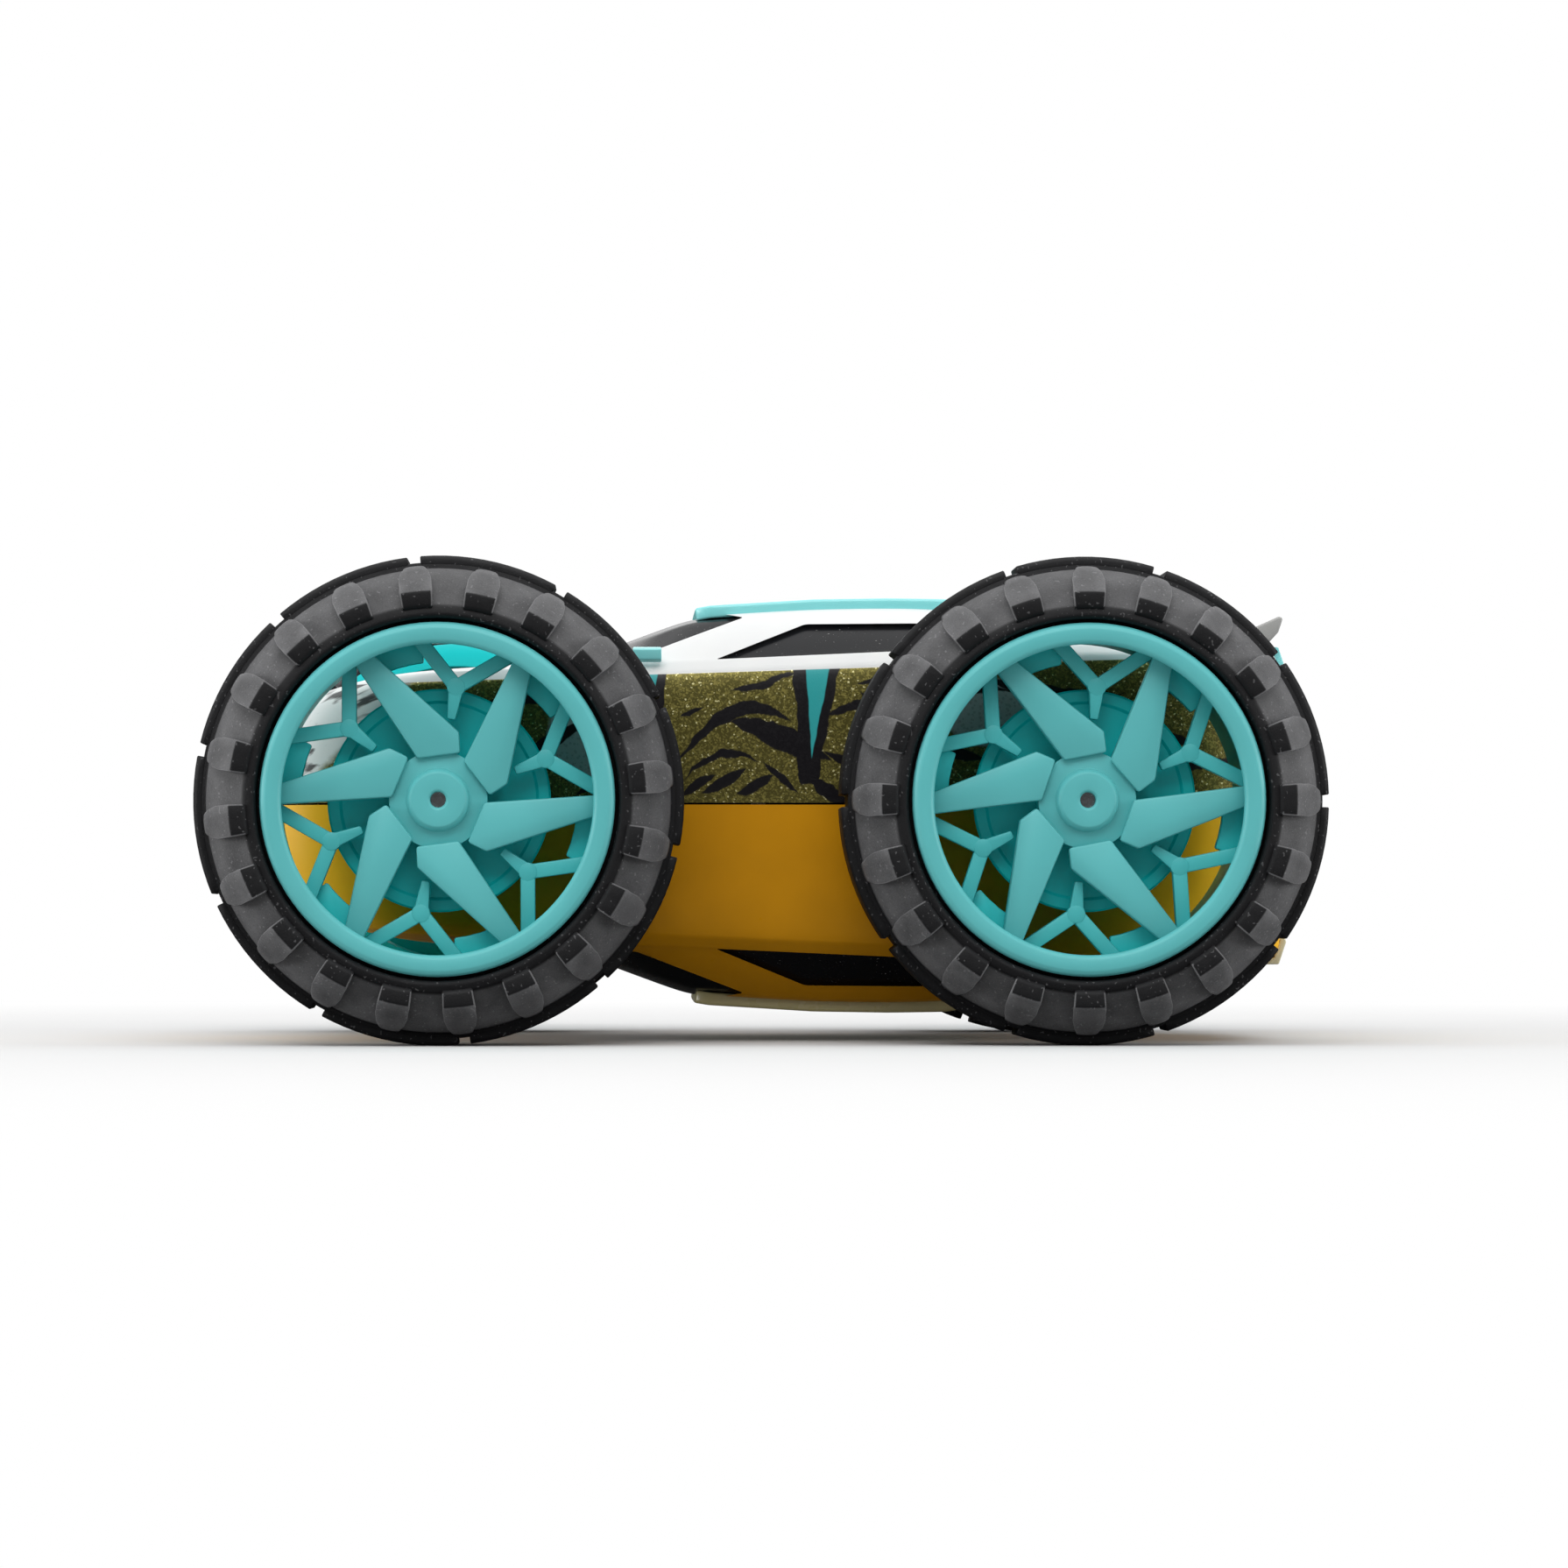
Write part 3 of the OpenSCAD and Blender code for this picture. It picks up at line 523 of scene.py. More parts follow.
        # Painted glint: the brightest few flakes are painted pale, as if they caught the light
        gold = bench.mix(flakes.ramp(0.965, 0.985), gold, self.painted_glint)
        dots = bench.cells(0.42 * MM, "Distance").ramp(0.42, 0.30)
        silver = bench.mix(dots * 0.35, self.silver, self.silver_dot)
        first, second = (self.patch(x, h, *oval) for oval in self.ovals)
        oval = first.most(second)
        nose = (x - h).ramp(*self.nose_from)
        colour = bench.mix(nose, bench.mix(oval, gold, silver), self.streaked(bench))
        ink = self.inked(x, h)
        teal = self.wedges(x * 0.25 + x_true * 0.75, h_true, 0.0)
        colour = bench.mix(teal, bench.mix(ink, colour, self.ink), self.teal)
        below = (x_true * self.belt_slope + self.belt_at - h_true).ramp(-0.06, 0.06)
        printed = below * (abs(across) / MM).ramp(*self.flank_from) * x_true.ramp(*self.tail_from)
        plain = bench.mix(bench.noise(8 * MM).ramp(0.3, 0.7), self.shell_dull, self.shell)
        bench.set(
            Base_Color=bench.mix(printed, plain, colour),
            Metallic=printed * (1 - ink) * (1 - nose) * (1 - teal) * (1 - oval * 0.5) * 0.55,
            Roughness=0.30 + printed * glitter * 0.12 + warp * 0.06,
            Specular_IOR_Level=0.3,
        )
        bench.bump(flakes * printed + bench.noise(0.5 * MM) * 0.3, 0.012 * MM, 0.35)
        return bench.owner


@dataclass(frozen=True)
class Lens:
    """Clear moulded lens with a faint tint."""

    name: str
    tint: Colour

    def make(self) -> bpy.types.Material:
        """Builds the material."""
        bench = SurfaceBench(self.name)
        haze = bench.noise(2 * MM, detail=2)
        paler = tuple(c * 0.92 for c in self.tint)
        bench.set(Base_Color=bench.mix(haze, paler, self.tint), Roughness=0.06 + haze * 0.06,
                  Transmission_Weight=0.75, IOR=1.49)
        bench.bump(bench.noise(1.2 * MM), 0.02 * MM, 0.3)
        return bench.owner


class Finishes:
    """Every finish of the car, made once and looked up by the record's slot."""

    def __init__(self) -> None:
        """Makes the materials."""
        recipes = {
            "silver_white_shell": PrintedSide("printed_shell"),
            # Painted light: the orange turns brighter towards the nose and tail, as if the end
            # lamps fell on it there
            "orange_shell": Moulding("orange_shell", (0.66, 0.29, 0.004), 0.30,
                                     mottle=0.10, gloss=0.12, painted_light=(0.95, 0.50, 0.02),
                                     painted_light_axis=0, painted_light_span=(30.0, 44.0)),
            "teal_gloss": Moulding("teal_gloss", (0.24, 0.72, 0.73), 0.3, coat=0.2),
            "olive_gloss": Moulding("olive_gloss", (0.56, 0.49, 0.25), 0.28, coat=0.2),
            "cream_gloss": Moulding("cream_gloss", (0.72, 0.67, 0.44), 0.3, coat=0.2),
            "dark_glazing": Moulding("dark_glazing", (0.005, 0.0055, 0.007), 0.26, dust=0.5,
                                     gloss=0.2),
            "clear_lens": Lens("clear_lens", (0.86, 0.92, 0.94)),
            "grey_plastic": Moulding("grey_plastic", (0.34, 0.34, 0.33), 0.42),
            "black_plastic": Moulding("black_plastic", (0.008, 0.008, 0.010), 0.45, dust=0.3,
                                      gloss=0.3),
            "frame_plastic": Moulding("frame_plastic", (0.018, 0.018, 0.021), 0.5, gloss=0.3),
            # Painted light: the rim turns a brighter, more saturated teal deeper in, where the
            # lamps barely reach
            "teal_rim": Moulding("teal_rim", (0.105, 0.475, 0.485), 0.42, mottle=0.05, gloss=0.35,
                                 painted_light=(0.0, 0.56, 0.57)),
            # The second colour pales the slopes and ridges: scuffs and dust, and painted sheen
            "tyre_rubber": Rubber("tyre_rubber", (0.006, 0.006, 0.007), (0.17, 0.17, 0.175)),
            "white_gear": Moulding("white_gear", (0.72, 0.72, 0.68), 0.42),
            "brass": Metal("brass", (0.78, 0.58, 0.25), 0.28),
            "steel": Metal("steel", (0.60, 0.60, 0.62), 0.25, (1.0, 0.15, 1.0)),
            "bronze": Metal("bronze", (0.60, 0.40, 0.20), 0.45),
            "motor_can": Metal("motor_can", (0.64, 0.65, 0.66), 0.32, (1.0, 0.2, 1.0)),
            "nickel": Metal("nickel", (0.68, 0.66, 0.62), 0.3),
            "battery_wrap": Moulding("battery_wrap", (0.03, 0.13, 0.42), 0.3, coat=0.4),
            "board": Moulding("board", (0.01, 0.14, 0.05), 0.35, coat=0.4),
            "lead_sleeve": Moulding("lead_sleeve", (0.45, 0.015, 0.01), 0.45),
        }
        self.made = {slot: recipe.make() for slot, recipe in recipes.items()}

    def __getitem__(self, slot: str) -> bpy.types.Material:
        """The material of a slot."""
        return self.made[slot]


def dress_frame(finishes: Finishes) -> None:
    """Gives every CAD node the finish of its record slot."""
    for part in frame["record"]["subparts"]:
        node = frame["nodes"][part["node"]]
        node.data.materials.clear()
        node.data.materials.append(finishes[part["material_slot"]])
        log.info("dressed %s", part["node"])


# ---------------------------------------------------------------- modelling bench


def polar(radius: float, degrees: float) -> Point:
    """A point from its radius and angle."""
    turn = math.radians(degrees)
    return (radius * math.cos(turn), radius * math.sin(turn))


def rest() -> None:
    """Leaves edit mode and deselects everything."""
    if bpy.context.object and bpy.context.object.mode != "OBJECT":
        bpy.ops.object.mode_set(mode="OBJECT")
    bpy.ops.object.select_all(action="DESELECT")


def hold(obj: bpy.types.Object) -> None:
    """Selects one object alone and makes it the active one."""
    rest()
    obj.select_set(True)
    bpy.context.view_layer.objects.active = obj


class Blank:
    """A mesh being shaped by hand: a primitive that edit-mode operators turn into a piece."""

    def __init__(self, obj: bpy.types.Object, name: str) -> None:
        """Takes an object to the bench under a new name."""
        self.obj = obj
        self.name(name)

    def name(self, name: str) -> "Blank":
        """Names the object and its mesh."""
        self.obj.name = name
        self.obj.data.name = name
        return self

    @classmethod
    def outline(cls, name: str, points: Sequence[Vector], filled: bool = True) -> "Blank":
        """Adds a circle and moves its corners to an outline.

        Args:
            name: Name of the new object.
            points: Where each corner goes, in metres.
            filled: Whether the outline is one face; otherwise it is a closed wire.

        Returns:
            The outline.
        """
        rest()
        bpy.ops.mesh.primitive_circle_add(vertices=len(points), radius=0.01,
                                          fill_type="NGON" if filled else "NOTHING")
        made = cls(bpy.context.object, name)
        made.place_corners(points)
        return made

    @classmethod
    def sheet(cls, name: str, rows: Sequence[Sequence[Vector]]) -> "Blank":
        """Adds a grid and moves its corners to rows of points."""
        rest()
        bpy.ops.mesh.primitive_grid_add(x_subdivisions=len(rows[0]) - 1,
                                        y_subdivisions=len(rows) - 1, size=0.1)
        made = cls(bpy.context.object, name)
        made.place_corners([point for row in rows for point in row])
        return made

    @classmethod
    def copy_of(cls, node: str, name: str) -> "Blank":
        """Copies a CAD node to the bench, with its loose triangles merged into clean faces."""
        hold(frame["nodes"][node])
        bpy.ops.object.duplicate()
        made = cls(bpy.context.object, name)
        with made.editing():
            bpy.ops.mesh.remove_doubles(threshold=0.002 * MM)
            bpy.ops.mesh.dissolve_limited(angle_limit=math.radians(0.6))
        return made

    def editing(self) -> "EditSession":
        """Edit mode on this mesh, everything selected, for a with block."""
        return EditSession(self.obj)

    def place_corners(self, points: Sequence[Vector]) -> None:
        """Moves each corner, in order, to its point with the translate operator."""
        with self.editing() as session:
            bpy.ops.mesh.select_all(action="DESELECT")
            for number, point in enumerate(points):
                mesh = session.mesh()
                mesh.verts[number].select = True
                bpy.ops.transform.translate(value=Vector(point) - mesh.verts[number].co)
                mesh = session.mesh()
                mesh.verts[number].select = False

    def extruded(self, step: Vector) -> "Blank":
        """Extrudes everything by a step and closes the start, so an outline becomes a solid."""
        with self.editing():
            bpy.ops.mesh.extrude_region_move(TRANSFORM_OT_translate={"value": step})
            bpy.ops.mesh.select_all(action="SELECT")
            bpy.ops.mesh.normals_make_consistent(inside=False)
        return self

    def spun(self, steps: int, degrees: float = 360.0) -> "Blank":
        """Spins a wire section about the Y axis, and caps it where the turn isn't full.

        Args:
            steps: Number of steps in the turn.
            degrees: How far it turns.

        Returns:
            The same blank.
        """
        with self.editing():
            if degrees < 360:
                bpy.ops.mesh.edge_face_add()
            bpy.ops.mesh.spin(steps=steps, angle=math.radians(degrees), center=(0, 0, 0),
                              axis=(0, 1, 0))
            bpy.ops.mesh.select_all(action="SELECT")
            bpy.ops.mesh.remove_doubles(threshold=WELD)
            bpy.ops.mesh.normals_make_consistent(inside=False)
        return self

    def bevelled(self, width: float, segments: int = 2, sharp: float = 30.0) -> "Blank":
        """Rounds every edge sharper than an angle in degrees."""
        return self.worked("BEVEL", width=width, segments=segments, limit_method="ANGLE",
                           angle_limit=math.radians(sharp), use_clamp_overlap=True,
                           harden_normals=False)

    def worked(self, kind: str, **settings: object) -> "Blank":
        """Adds a modifier, sets it and applies it."""
        hold(self.obj)
        bpy.ops.object.modifier_add(type=kind)
        modifier = self.obj.modifiers[-1]
        for key, value in settings.items():
            setattr(modifier, key, value)
        bpy.ops.object.modifier_apply(modifier=modifier.name)
        return self

    def cut(self, tool: "Blank") -> "Blank":
        """Cuts another blank out of this one and removes it."""
        self.worked("BOOLEAN", object=tool.obj, operation="DIFFERENCE", solver="EXACT")
        tool.discarded()
        return self

    def copy(self, name: str) -> "Blank":
        """A copy with its own mesh."""
        hold(self.obj)
        bpy.ops.object.duplicate()
        return Blank(bpy.context.object, name)

    def ring_of(self, angles: Iterable[float]) -> list["Blank"]:
        """Copies of this blank turned about the Y axis by angles, counted from X towards Z."""
        copies = []
        for number, degrees in enumerate(angles):
            made = self.copy(f"{self.obj.name}_{number}")
            made.settled(turn=(0, -math.radians(degrees), 0))
            copies.append(made)
        return copies

    def settled(self, turn: Sequence[float] = (0, 0, 0), move: Sequence[float] = (0, 0, 0),
                size: Sequence[float] = (1, 1, 1)) -> "Blank":
        """Puts the blank somewhere else, with its place in the mesh.

        Args:
            turn: Angles about X, Y and Z through the origin, in radians.
            move: Step made after the turn, in metres.
            size: Factor along each axis; a reflection keeps its faces outwards.

        Returns:
            The same blank.
        """
        hold(self.obj)
        self.obj.rotation_euler = turn
        self.obj.location = move
        self.obj.scale = size
        bpy.ops.object.transform_apply(location=True, rotation=True, scale=True)
        if size[0] * size[1] * size[2] < 0:
            with self.editing():
                bpy.ops.mesh.normals_make_consistent(inside=False)
        return self

    def joined(self, others: Iterable["Blank"]) -> "Blank":
        """Takes other blanks into this mesh."""
        hold(self.obj)
        for other in others:
            other.obj.select_set(True)
        bpy.ops.object.join()
        return self

    def smooth(self, sharp: float = 32.0) -> "Blank":
        """Smooth shading, except over edges sharper than an angle in degrees."""
        hold(self.obj)
        bpy.ops.object.shade_smooth_by_angle(angle=math.radians(sharp))
        return self

    def discarded(self) -> None:
        """Removes the blank from the bench."""
        bpy.data.objects.remove(self.obj)

    def finished(self, finish: bpy.types.Material, slot: str, body: str,
                 *nodes: str) -> bpy.types.Object:
        """Gives the piece its finish, parents it to the body that it rides on and hides the nodes
        it stands for.

        Args:
            finish: The material.
            slot: The record's material slot; not used.
            body: The CAD body that it moves with.
            nodes: The CAD nodes that it replaces.

        Returns:
            The finished object.
        """
        self.obj.data.materials.clear()
        self.obj.data.materials.append(finish)
        self.obj.data.polygons.foreach_set("material_index", [0] * len(self.obj.data.polygons))
        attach(self.obj, body)
        if nodes:
            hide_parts(*nodes)
        log.info("%s rides on %s with %d faces", self.obj.name, body, len(self.obj.data.polygons))
        return self.obj


class EditSession:
    """Edit mode on one object for a with block, everything selected at the start."""

    def __init__(self, obj: bpy.types.Object) -> None:
        """Keeps the object."""
        self.obj = obj

    def __enter__(self) -> "EditSession":
        """Enters edit mode."""
        hold(self.obj)
        bpy.ops.object.mode_set(mode="EDIT")
        bpy.ops.mesh.select_all(action="SELECT")
        return self

    def __exit__(self, *_: object) -> None:
        """Returns to object mode."""
        bpy.ops.object.mode_set(mode="OBJECT")

    def mesh(self) -> bmesh.types.BMesh:
        """The mesh as it is now, with its corners numbered."""
        mesh = bmesh.from_edit_mesh(self.obj.data)
        mesh.verts.ensure_lookup_table()
        return mesh

    def choose(self, kind: str, test: Callable[[object], bool]) -> None:
        """Selects only the verts or edges that pass a test.

        Args:
            kind: "verts" or "edges".
            test: What an item has to pass.
        """
        bpy.ops.mesh.select_mode(type={"verts": "VERT", "edges": "EDGE"}[kind])
        bpy.ops.mesh.select_all(action="DESELECT")
        mesh = self.mesh()
        for item in getattr(mesh, kind):
            if test(item):
                item.select_set(True)
        bmesh.update_edit_mesh(self.obj.data)


# ---------------------------------------------------------------- wheels


# Softened edges of turned sections
ROLLED: dict[str, float] = {"width": 0.1 * MM, "segments": 2, "sharp": 24.0}


def turned_section(name: str, points: Sequence[Point]) -> Blank:
    """A closed wire of (radius, distance from the car's middle) points, in millimetres."""
    return Blank.outline(name, [Vector((r, -y, 0)) * MM for r, y in points], filled=False)


@dataclass(frozen=True)
class Rim:
    """Turbine wheel: ring and barrel, six blades, forked struts, a sunken disc and a hub.

    Lengths are in millimetres. A face or a back is a distance from the car's middle.
    """

    lip_r: float = 15.75
    barrel_in: float = 16.65
    barrel_out: float = 17.0
    ring_out: float = 17.95
    ring_depth: float = 2.6
    face: float = 48.0
    back: float = 29.5
    flange_r: float = 19.2
    flange_y: tuple[float, float] = (27.6, 28.2)
    blade_face: float = 45.2
    blade_t: float = 2.2
    lattice_face: float = 43.6
    lattice_t: float = 1.6
    disc_face: float = 41.0
    disc_r: float = 11.4
    hub_r: float = 5.0
    boss_r: float = 3.1
    hole_r: float = 0.8
    socket_r: float = 1.0
    socket_depth: float = 4.0
    fork_angle: float = 22.7
    blades: int = 6

    def plate(self, name: str, points: Sequence[Point], face: float, thick: float,
              soft: float) -> Blank:
        """A flat shape across the wheel, with softened edges.

        Args:
            name: Name of the new object.
            points: The shape's (along, up) corners, in millimetres from the axle.
            face: How far its outer face lies from the car's middle.
            thick: Its thickness.
            soft: Width of its softened edges.

        Returns:
            The plate.
        """
        made = Blank.outline(name, [Vector((u, -face, v)) * MM for u, v in points])
        made.extruded(Vector((0, thick * MM, 0)))
        return made.bevelled(soft * MM, 2)

    def barrel(self) -> Blank:
        """The ring, the barrel behind it and its rolled edges."""
        a, b, c, f = self.lip_r, self.barrel_out, self.ring_out, self.face
        made = turned_section("barrel", [
            (self.barrel_in, self.flange_y[0]), (self.flange_r, self.flange_y[0]),
            (self.flange_r, self.flange_y[1]), (b, self.flange_y[1]),
            (b, f - self.ring_depth - 0.1),
            (c, f - self.ring_depth), (c, f - 0.7), (c - 0.2, f - 0.25), (c - 0.6, f - 0.02),
            (c - 1.2, f), (a + 0.4, f - 0.1), (a + 0.12, f - 0.3), (a, f - 0.6),
            (a + 0.05, f - 1.5), (self.barrel_in, f - 2.3),
        ])
        return made.spun(120).bevelled(**ROLLED)

    def hub(self) -> Blank:
        """The hub, its raised boss with a chamfered hole, and the blind socket for the axle."""
        f, end = self.blade_face, self.face - self.socket_depth
        made = turned_section("hub", [
            (self.socket_r, self.back), (self.hub_r, self.back), (self.hub_r, f - 0.7),
            (self.boss_r + 0.12, f - 0.7), (self.boss_r, f + 0.12), (self.boss_r - 0.35, f + 0.5),
            (self.hole_r + 0.22, f + 0.5), (self.hole_r, f + 0.3), (self.hole_r, end),
            (self.socket_r, end),
        ])
        return made.spun(64).bevelled(**ROLLED)

    def disc(self) -> Blank:
        """The sunken disc, with a shallow step near its edge."""
        d, out, within = self.disc_face, self.disc_r, self.hub_r - 0.6
        return turned_section("disc", [
            (within, d - 1.2), (out - 0.3, d - 1.2), (out, d - 0.9), (out, d - 0.2),
            (out - 0.2, d), (out - 1.2, d), (out - 1.5, d - 0.25), (within, d - 0.25),
        ]).spun(72)

    def blade(self) -> Blank:
        """One swept blade, its tip towards X."""
        return self.plate("blade", [
            polar(4.67, -1.8), polar(16.8, 3.3), polar(16.8, -3.3), polar(7.2, -45.5),
            polar(5.25, -53.5),
        ], self.blade_face, self.blade_t, 0.28)

    def fork(self) -> list[Blank]:
        """One forked strut, a stem and two arms at a knot, and a shelf along the barrel."""
        knot = polar(11.65, self.fork_angle)
        face, thick = self.lattice_face, self.lattice_t
        made = []
        for number, (start, end, width, taper) in enumerate((
            (polar(8.8, self.fork_angle), knot, 1.7, 0.5), (knot, polar(16.35, 5.3), 1.5, 1.0),
            (knot, polar(16.35, 38.3), 1.5, 1.0),
        )):
            run = Vector(end) - Vector(start)
            side = Vector((-run.y, run.x)).normalized() * width / 2
            over = run.normalized() * 0.5
            first, last = Vector(start) - over, Vector(end) + over
            corners = [first + side * taper, first - side * taper, last - side, last + side]
            made.append(self.plate(f"arm_{number}", corners, face - 0.02 * number, thick, 0.2))
        knob = [Vector(knot) + Vector(polar(0.98, 30 * k)) for k in range(12)]
        made.append(self.plate("knot", knob, face + 0.03, thick, 0.15))
        shelf = [polar(16.85, a) for a in (37, 43, 49, 55, 61)]
        shelf += [polar(14.1, a) for a in (60, 55, 49, 43, 38)]
        made.append(self.plate("shelf", shelf, face - 1.1, thick, 0.18))
        return made

    def build(self, name: str, phase: float) -> Blank:
        """The whole rim with its outer face towards -Y, one blade's tip at an angle from X."""
        angles = [phase + 360 / self.blades * k for k in range(self.blades)]
        parts = []
        for original in [self.blade(), *self.fork()]:
            parts += original.ring_of(angles)
            original.discarded()
        return self.barrel().name(name).joined([self.hub(), self.disc(), *parts])


@dataclass(frozen=True)
class Tyre:
    """Chunky tyre: a rounded carcass, lugs on both shoulders and a band of tread blocks.

    Lengths are in millimetres and angles in degrees.
    """

    width: float = 20.0
    middle: float = 38.0
    bead_r: float = 17.0
    lip_r: float = 18.35
    tread_r: float = 25.0
    lugs: int = 20
    blocks: int = 10
    lug_angle: float = 9.0
    lug_taper: tuple[Point, ...] = ((23.2, 0.84), (23.7, 0.62))
    gap_angle: float = 3.0
    # Where and how much the rubber is paled: scuffs and dust, and painted sheen on slopes and
    # ridges
    scuff_and_sheen_from: Point = (4.5, 19.6)
    scuff_and_sheen_levels: Point = (0.5, 0.7)
    flat_side: float = 0.9
    ridge_gain: float = 3.0

    def section(self, name: str, points: Sequence[Point]) -> Blank:
        """A closed wire of (radius, distance outwards from the tyre's middle) points."""
        return turned_section(name, [(r, self.middle + y) for r, y in points])

    def mirrored(self, half: Sequence[Point]) -> list[Point]:
        """A half section and its reflection about the tyre's middle."""
        return [*half, *((r, -y) for r, y in reversed(half))]

    def carcass(self) -> Blank:
        """The rounded body of the tyre with the groove where it meets the rim."""
        w, r = self.width / 2, self.tread_r
        made = self.section("carcass", self.mirrored([
            (self.bead_r, 7.25), (self.lip_r, 7.25), (self.lip_r, w - 0.7), (18.55, w - 0.42),
            (18.8, w - 0.32), (19.5, w - 0.5), (19.85, w - 0.95), (21.4, w - 2.2),
            (22.8, w - 3.4), (r - 1.45, w - 4.6), (r - 1.3, 4.3), (r - 0.7, 4.2),
        ]))
        return made.spun(120).bevelled(0.14 * MM, 2, 24)

    def lug(self) -> Blank:
        """One wedge lug on the outer shoulder, centred on X, with softened edges."""
        w, r = self.width / 2, self.tread_r
        made = self.section("lug", [
            (19.1, w - 1.4), (19.3, w - 0.42), (19.65, w - 0.1), (21.05, w - 0.06),
            (21.45, w - 0.42), (22.5, w - 1.65), (23.3, w - 2.75), (r - 1.15, w - 3.7),
            (r - 1.0, 4.3), (22.4, 4.3),
        ])
        made.spun(3, self.lug_angle)
        made.settled(turn=(0, math.radians(self.lug_angle / 2), 0))
        for beyond, narrower in self.lug_taper:
            with made.editing() as session:
                session.choose("verts", lambda v, least=beyond: v.co.x > least * MM)
                bpy.ops.transform.resize(value=(1, 1, narrower), center_override=(0, 0, 0))
        return made.bevelled(0.18 * MM, 2, 30)

    def block(self) -> Blank:
        """One block of the centre band, starting at X."""
        r = self.tread_r
        made = self.section("block", self.mirrored([(r - 0.95, 4.25), (r - 0.35, 4.25), (r, 3.9)]))
        return made.spun(11, 360 / self.blocks - self.gap_angle).bevelled(0.1 * MM, 1, 34)

    def build(self, name: str, phase: float) -> Blank:
        """The whole tyre with its outer face towards -Y and one tread gap at an angle from X."""
        lug = self.lug()
        inner = lug.copy("lug_inner").settled(size=(1, -1, 1))
        inner.settled(move=(0, -2 * self.middle * MM, 0))
        parts = []
        for original, count, start in ((lug, self.lugs, phase), (inner, self.lugs, phase),
                                       (self.block(), self.blocks, phase + self.gap_angle / 2)):
            parts += original.ring_of([start + 360 / count * k for k in range(count)])
            original.discarded()
        return self.carcass().name(name).joined(parts)

    def wear(self, place: Vector, normal: Vector, ridge: float) -> float:
        """How pale a point is painted: only on the outer slopes, and more on their ridges, for
        scuffs and dust and for painted sheen where light falls on them.
        """
        side = abs(abs(place.y) / MM - self.middle)
        radius = math.hypot(place.x, place.z) / MM
        out, up = self.scuff_and_sheen_from
        if abs(normal.y) >= self.flat_side or side <= out or radius <= up:
            return 0.0
        return self.scuff_and_sheen_levels[0] + self.scuff_and_sheen_levels[1] * ridge


@dataclass(frozen=True)
class Wheels:
    """The four wheels: a rim and a tyre each, built once for each end and turned for the right.

    Phases are in degrees, front and rear.
    """

    rim: Rim = Rim()
    tyre: Tyre = Tyre()
    blade_phase: tuple[float, float] = (58.5, 62.0)
    tread_phase: tuple[float, float] = (24.0, 0.0)

    def build(self, finishes: Finishes) -> None:
        """Builds and dresses every wheel."""
        for end, blade_phase, tread_phase in zip(End, self.blade_phase, self.tread_phase):
            where = end.name.lower()
            rim = self.rim.build(f"rim_piece_{where}", blade_phase).smooth()
            tyre = self.tyre.build(f"tyre_piece_{where}", tread_phase).smooth(38)
            self.scuff_and_sheen(tyre.obj)
            for side in Side:
                spot = f"{where}_{side.name.lower()}"
                turn = (0, 0, 0 if side is Side.LEFT else math.pi)
                move = (end.value * LAYOUT.axle_x, 0, LAYOUT.axle_h)
                for blank, kind, slot in ((rim, "rim", "teal_rim"), (tyre, "tyre", "tyre_rubber")):
                    made = blank.copy(f"{kind}_detail_{spot}").settled(turn, move)
                    made.finished(finishes[slot], slot, f"wheel_{spot}", f"{kind}_{spot}")
            rim.discarded()
            tyre.discarded()

    def scuff_and_sheen(self, tyre: bpy.types.Object) -> None:
        """Stores how pale each point of a tyre is painted, for scuffs, dust and painted sheen on
        slopes and ridges.
        """
        shape = bmesh.new()
        shape.from_mesh(tyre.data)
        values = []
        for vertex in shape.verts:
            away = [(edge.other_vert(vertex).co - vertex.co).normalized().dot(vertex.normal)
                    for edge in vertex.link_edges]
            ridge = min(max(-self.tyre.ridge_gain * sum(away) / len(away), 0.0), 1.0)
            values.append(self.tyre.wear(vertex.co, vertex.normal, ridge))
        shape.free()
        tyre.data.attributes.new(WEAR_AND_SHEEN, "FLOAT", "POINT").data.foreach_set("value", values)


# ---------------------------------------------------------------- body


def between(table: Sequence[Point], x: float) -> float:
    """Reads a table of (place, value) pairs at a place, straight between its entries."""
    if x <= table[0][0]:
        return table[0][1]
    for (a, first), (b, second) in zip(table, table[1:]):
        if x <= b:
            return first + (second - first) * (x - a) / (b - a)
    return table[-1][1]


def rounded(place: Vector) -> tuple[float, ...]:
    """A place to the nearest micrometre, for matching corners."""
    return tuple(round(c, 6) for c in place)


